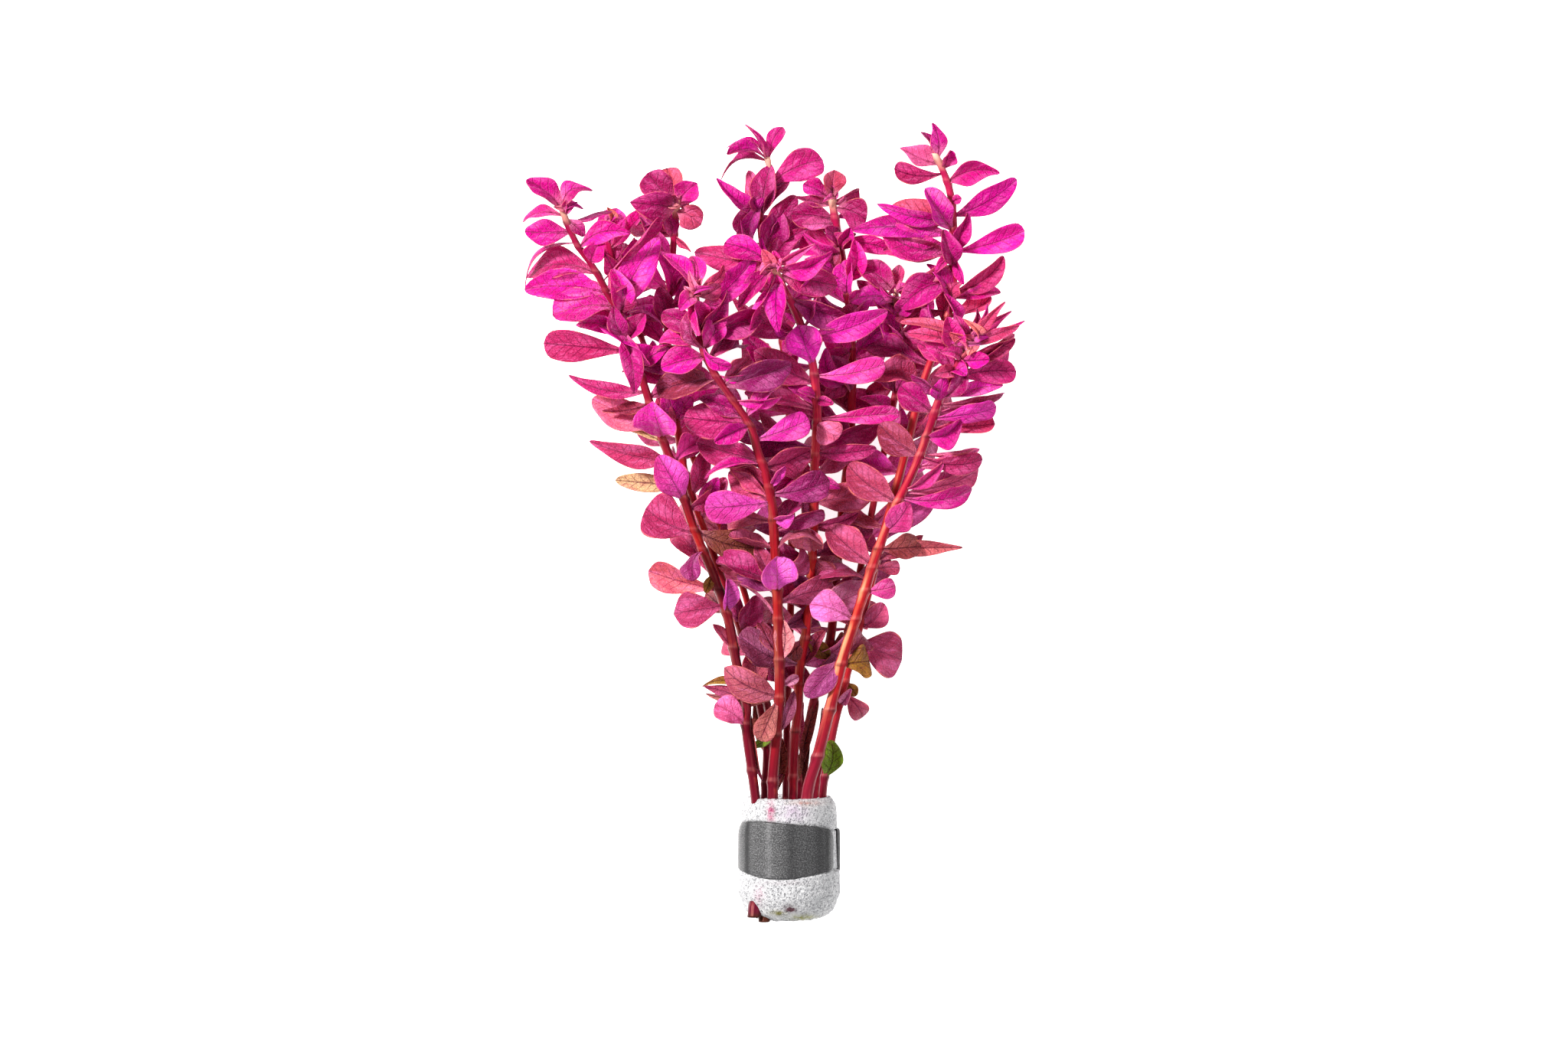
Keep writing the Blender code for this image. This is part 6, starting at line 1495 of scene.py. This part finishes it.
# The lead strip: a sheet bent round the foam, with rounded corners, uneven edges and one end that lifts.
def leadPiece():
    bm = bmesh.new()
    layers = newLayers(bm)
    shade = bm.verts.layers.float.new("shade")
    made = bmesh.ops.create_grid(bm, x_segments=lead["columns"], y_segments=lead["rows"], size=0.5)
    turns = lead["end"] - lead["start"]
    length = math.radians(turns) * lead["radius"]
    for v in made["verts"]:
        share = v.co.x + 0.5
        w = v.co.y + 0.5
        angle = lead["start"] + turns * share
        turn = math.radians(angle)
        reach = min(share, 1.0 - share) * length
        trim = 0.0
        if reach < lead["corner"]:
            trim = lead["corner"] * (1.0 - math.sqrt(1.0 - (1.0 - reach / lead["corner"]) ** 2))
        top = smooth(lead["top"], angle) - trim
        bottom = smooth(lead["bottom"], angle) + 0.4 * trim
        y = bottom + (top - bottom) * w
        radius = lead["radius"] + lead["flare"] * max(0.0, share - 0.9)
        radius -= 0.9 * max(0.0, w - 0.72) ** 2 / 0.08 * max(0.0, -math.cos(turn)) ** 2
        radius += 0.12 * noise.noise(Vector((angle * 0.05, y * 0.1, 3.0)))
        radius += 0.05 * noise.noise(Vector((angle * 0.3, y * 0.4, 9.0)))
        y += 0.12 * noise.noise(Vector((angle * 0.12, w * 2.0, 5.0)))
        point = Vector((math.cos(turn) * radius, y, foam["axisZ"] + math.sin(turn) * radius))
        v.co = (point + move) * mm
        # painted shade and painted reflection in bands around the strip
        for at, wide, strength in lead["bands"]:
            v[shade] += strength * math.exp(-((angle - at) / wide) ** 2)
        for loop in v.link_loops:
            loop[layers["uv"]].uv = (share, w)
    piece = newPiece("lead_band", bm, (leadSurface, leadEdge), "lead_strip")
    wall = piece.modifiers.new("thickness", "SOLIDIFY")
    wall.thickness = lead["thick"] * mm
    wall.offset = -1.0
    wall.material_offset_rim = 1
    edge = piece.modifiers.new("edge", "BEVEL")
    edge.width = lead["bevel"] * mm
    edge.segments = 2
    return piece


leafUpper = leafPaint("leaf_upper", "tint", -1.0, 0.36, 0.38)
leafUnder = leafPaint("leaf_under", "under", 1.2, 0.5, 0.38)
stemSurface = stemPaint()
foamSurface = foamPaint()
leadSurface = leadPaint("lead_surface", lead["colour"])
leadEdge = leadPaint("lead_edge", lead["edge"])

for name, stem in stems.items():
    small = [leaf for owner, leaf, own in placed if owner == name and not own]
    large = [leaf for owner, leaf, own in placed if owner == name and own]
    for number, leaf in enumerate(large, 1):
        leafPiece("%s_blade_%d" % (name, number), [leaf],
                  "%s_leaf_%d" % (name, number))
    small += [leaf for owner, leaf in filled if owner == name]
    leafPiece(name + "_small_leaves", small, name)
    stemPiece(name + "_stem", stem)
print("leaves and stems done")
foamPiece()
leadPiece()
print("foam and lead done")

# A white floor, in metres from its middle to its side.
floorHalf = 3.0
floorMesh = bpy.data.meshes.new("floor")
bm = bmesh.new()
bmesh.ops.create_grid(bm, x_segments=1, y_segments=1, size=floorHalf)
bm.to_mesh(floorMesh)
bm.free()
floor = bpy.data.objects.new("floor", floorMesh)
bpy.context.scene.collection.objects.link(floor)
floorPaint = Paint("floor_surface")
floorMesh.materials.append(floorPaint.finish(floorPaint.node(
    "ShaderNodeBsdfPrincipled", Base_Color=(0.93, 0.93, 0.93), Roughness=0.8, Emission_Color=(1.0, 1.0, 1.0),
    Emission_Strength=0.8).outputs[0]))


# Soft studio light: name, place, size, power and colour, all facing the bunch, and the strength of the rest.
aim = Vector((0.0, 0.0, 0.02))
around = 0.31
lights = (
    ("key", (-0.78, 0.46, 0.9), 0.24, 35.0, (1.0, 0.98, 0.96)),
    ("fill", (0.7, 0.0, 1.0), 0.9, 7.0, (1.0, 1.0, 1.0)),
    ("low", (0.0, -0.9, 0.5), 0.8, 2.0, (1.0, 1.0, 1.0)),
)
for name, place, size, power, colour in lights:
    data = bpy.data.lights.new(name, "AREA")
    data.shape = "DISK"
    data.size = size
    data.energy = power
    data.color = colour
    lamp = bpy.data.objects.new(name, data)
    lamp.location = place
    lamp.rotation_euler = (aim - Vector(place)).to_track_quat("-Z", "Y").to_euler()
    bpy.context.scene.collection.objects.link(lamp)
world = bpy.data.worlds.new("studio")
bpy.context.scene.world = world
world.use_nodes = True
sky = world.node_tree.nodes["Background"].inputs
sky["Color"].default_value = (1.0, 1.0, 1.0, 1.0)
sky["Strength"].default_value = around
bpy.context.scene.view_settings.view_transform = "Standard"

camera = bpy.data.objects.new("camera", bpy.data.cameras.new("camera"))
bpy.context.scene.collection.objects.link(camera)
camera.location = (Vector((eye["x"], eye["y"], eye["level"] + eye["height"])) + move) * mm
camera.data.lens = eye["sensor"] * eye["height"] / eye["across"]
camera.data.sensor_width = eye["sensor"]
camera.data.clip_start = 0.01
bpy.context.scene.camera = camera
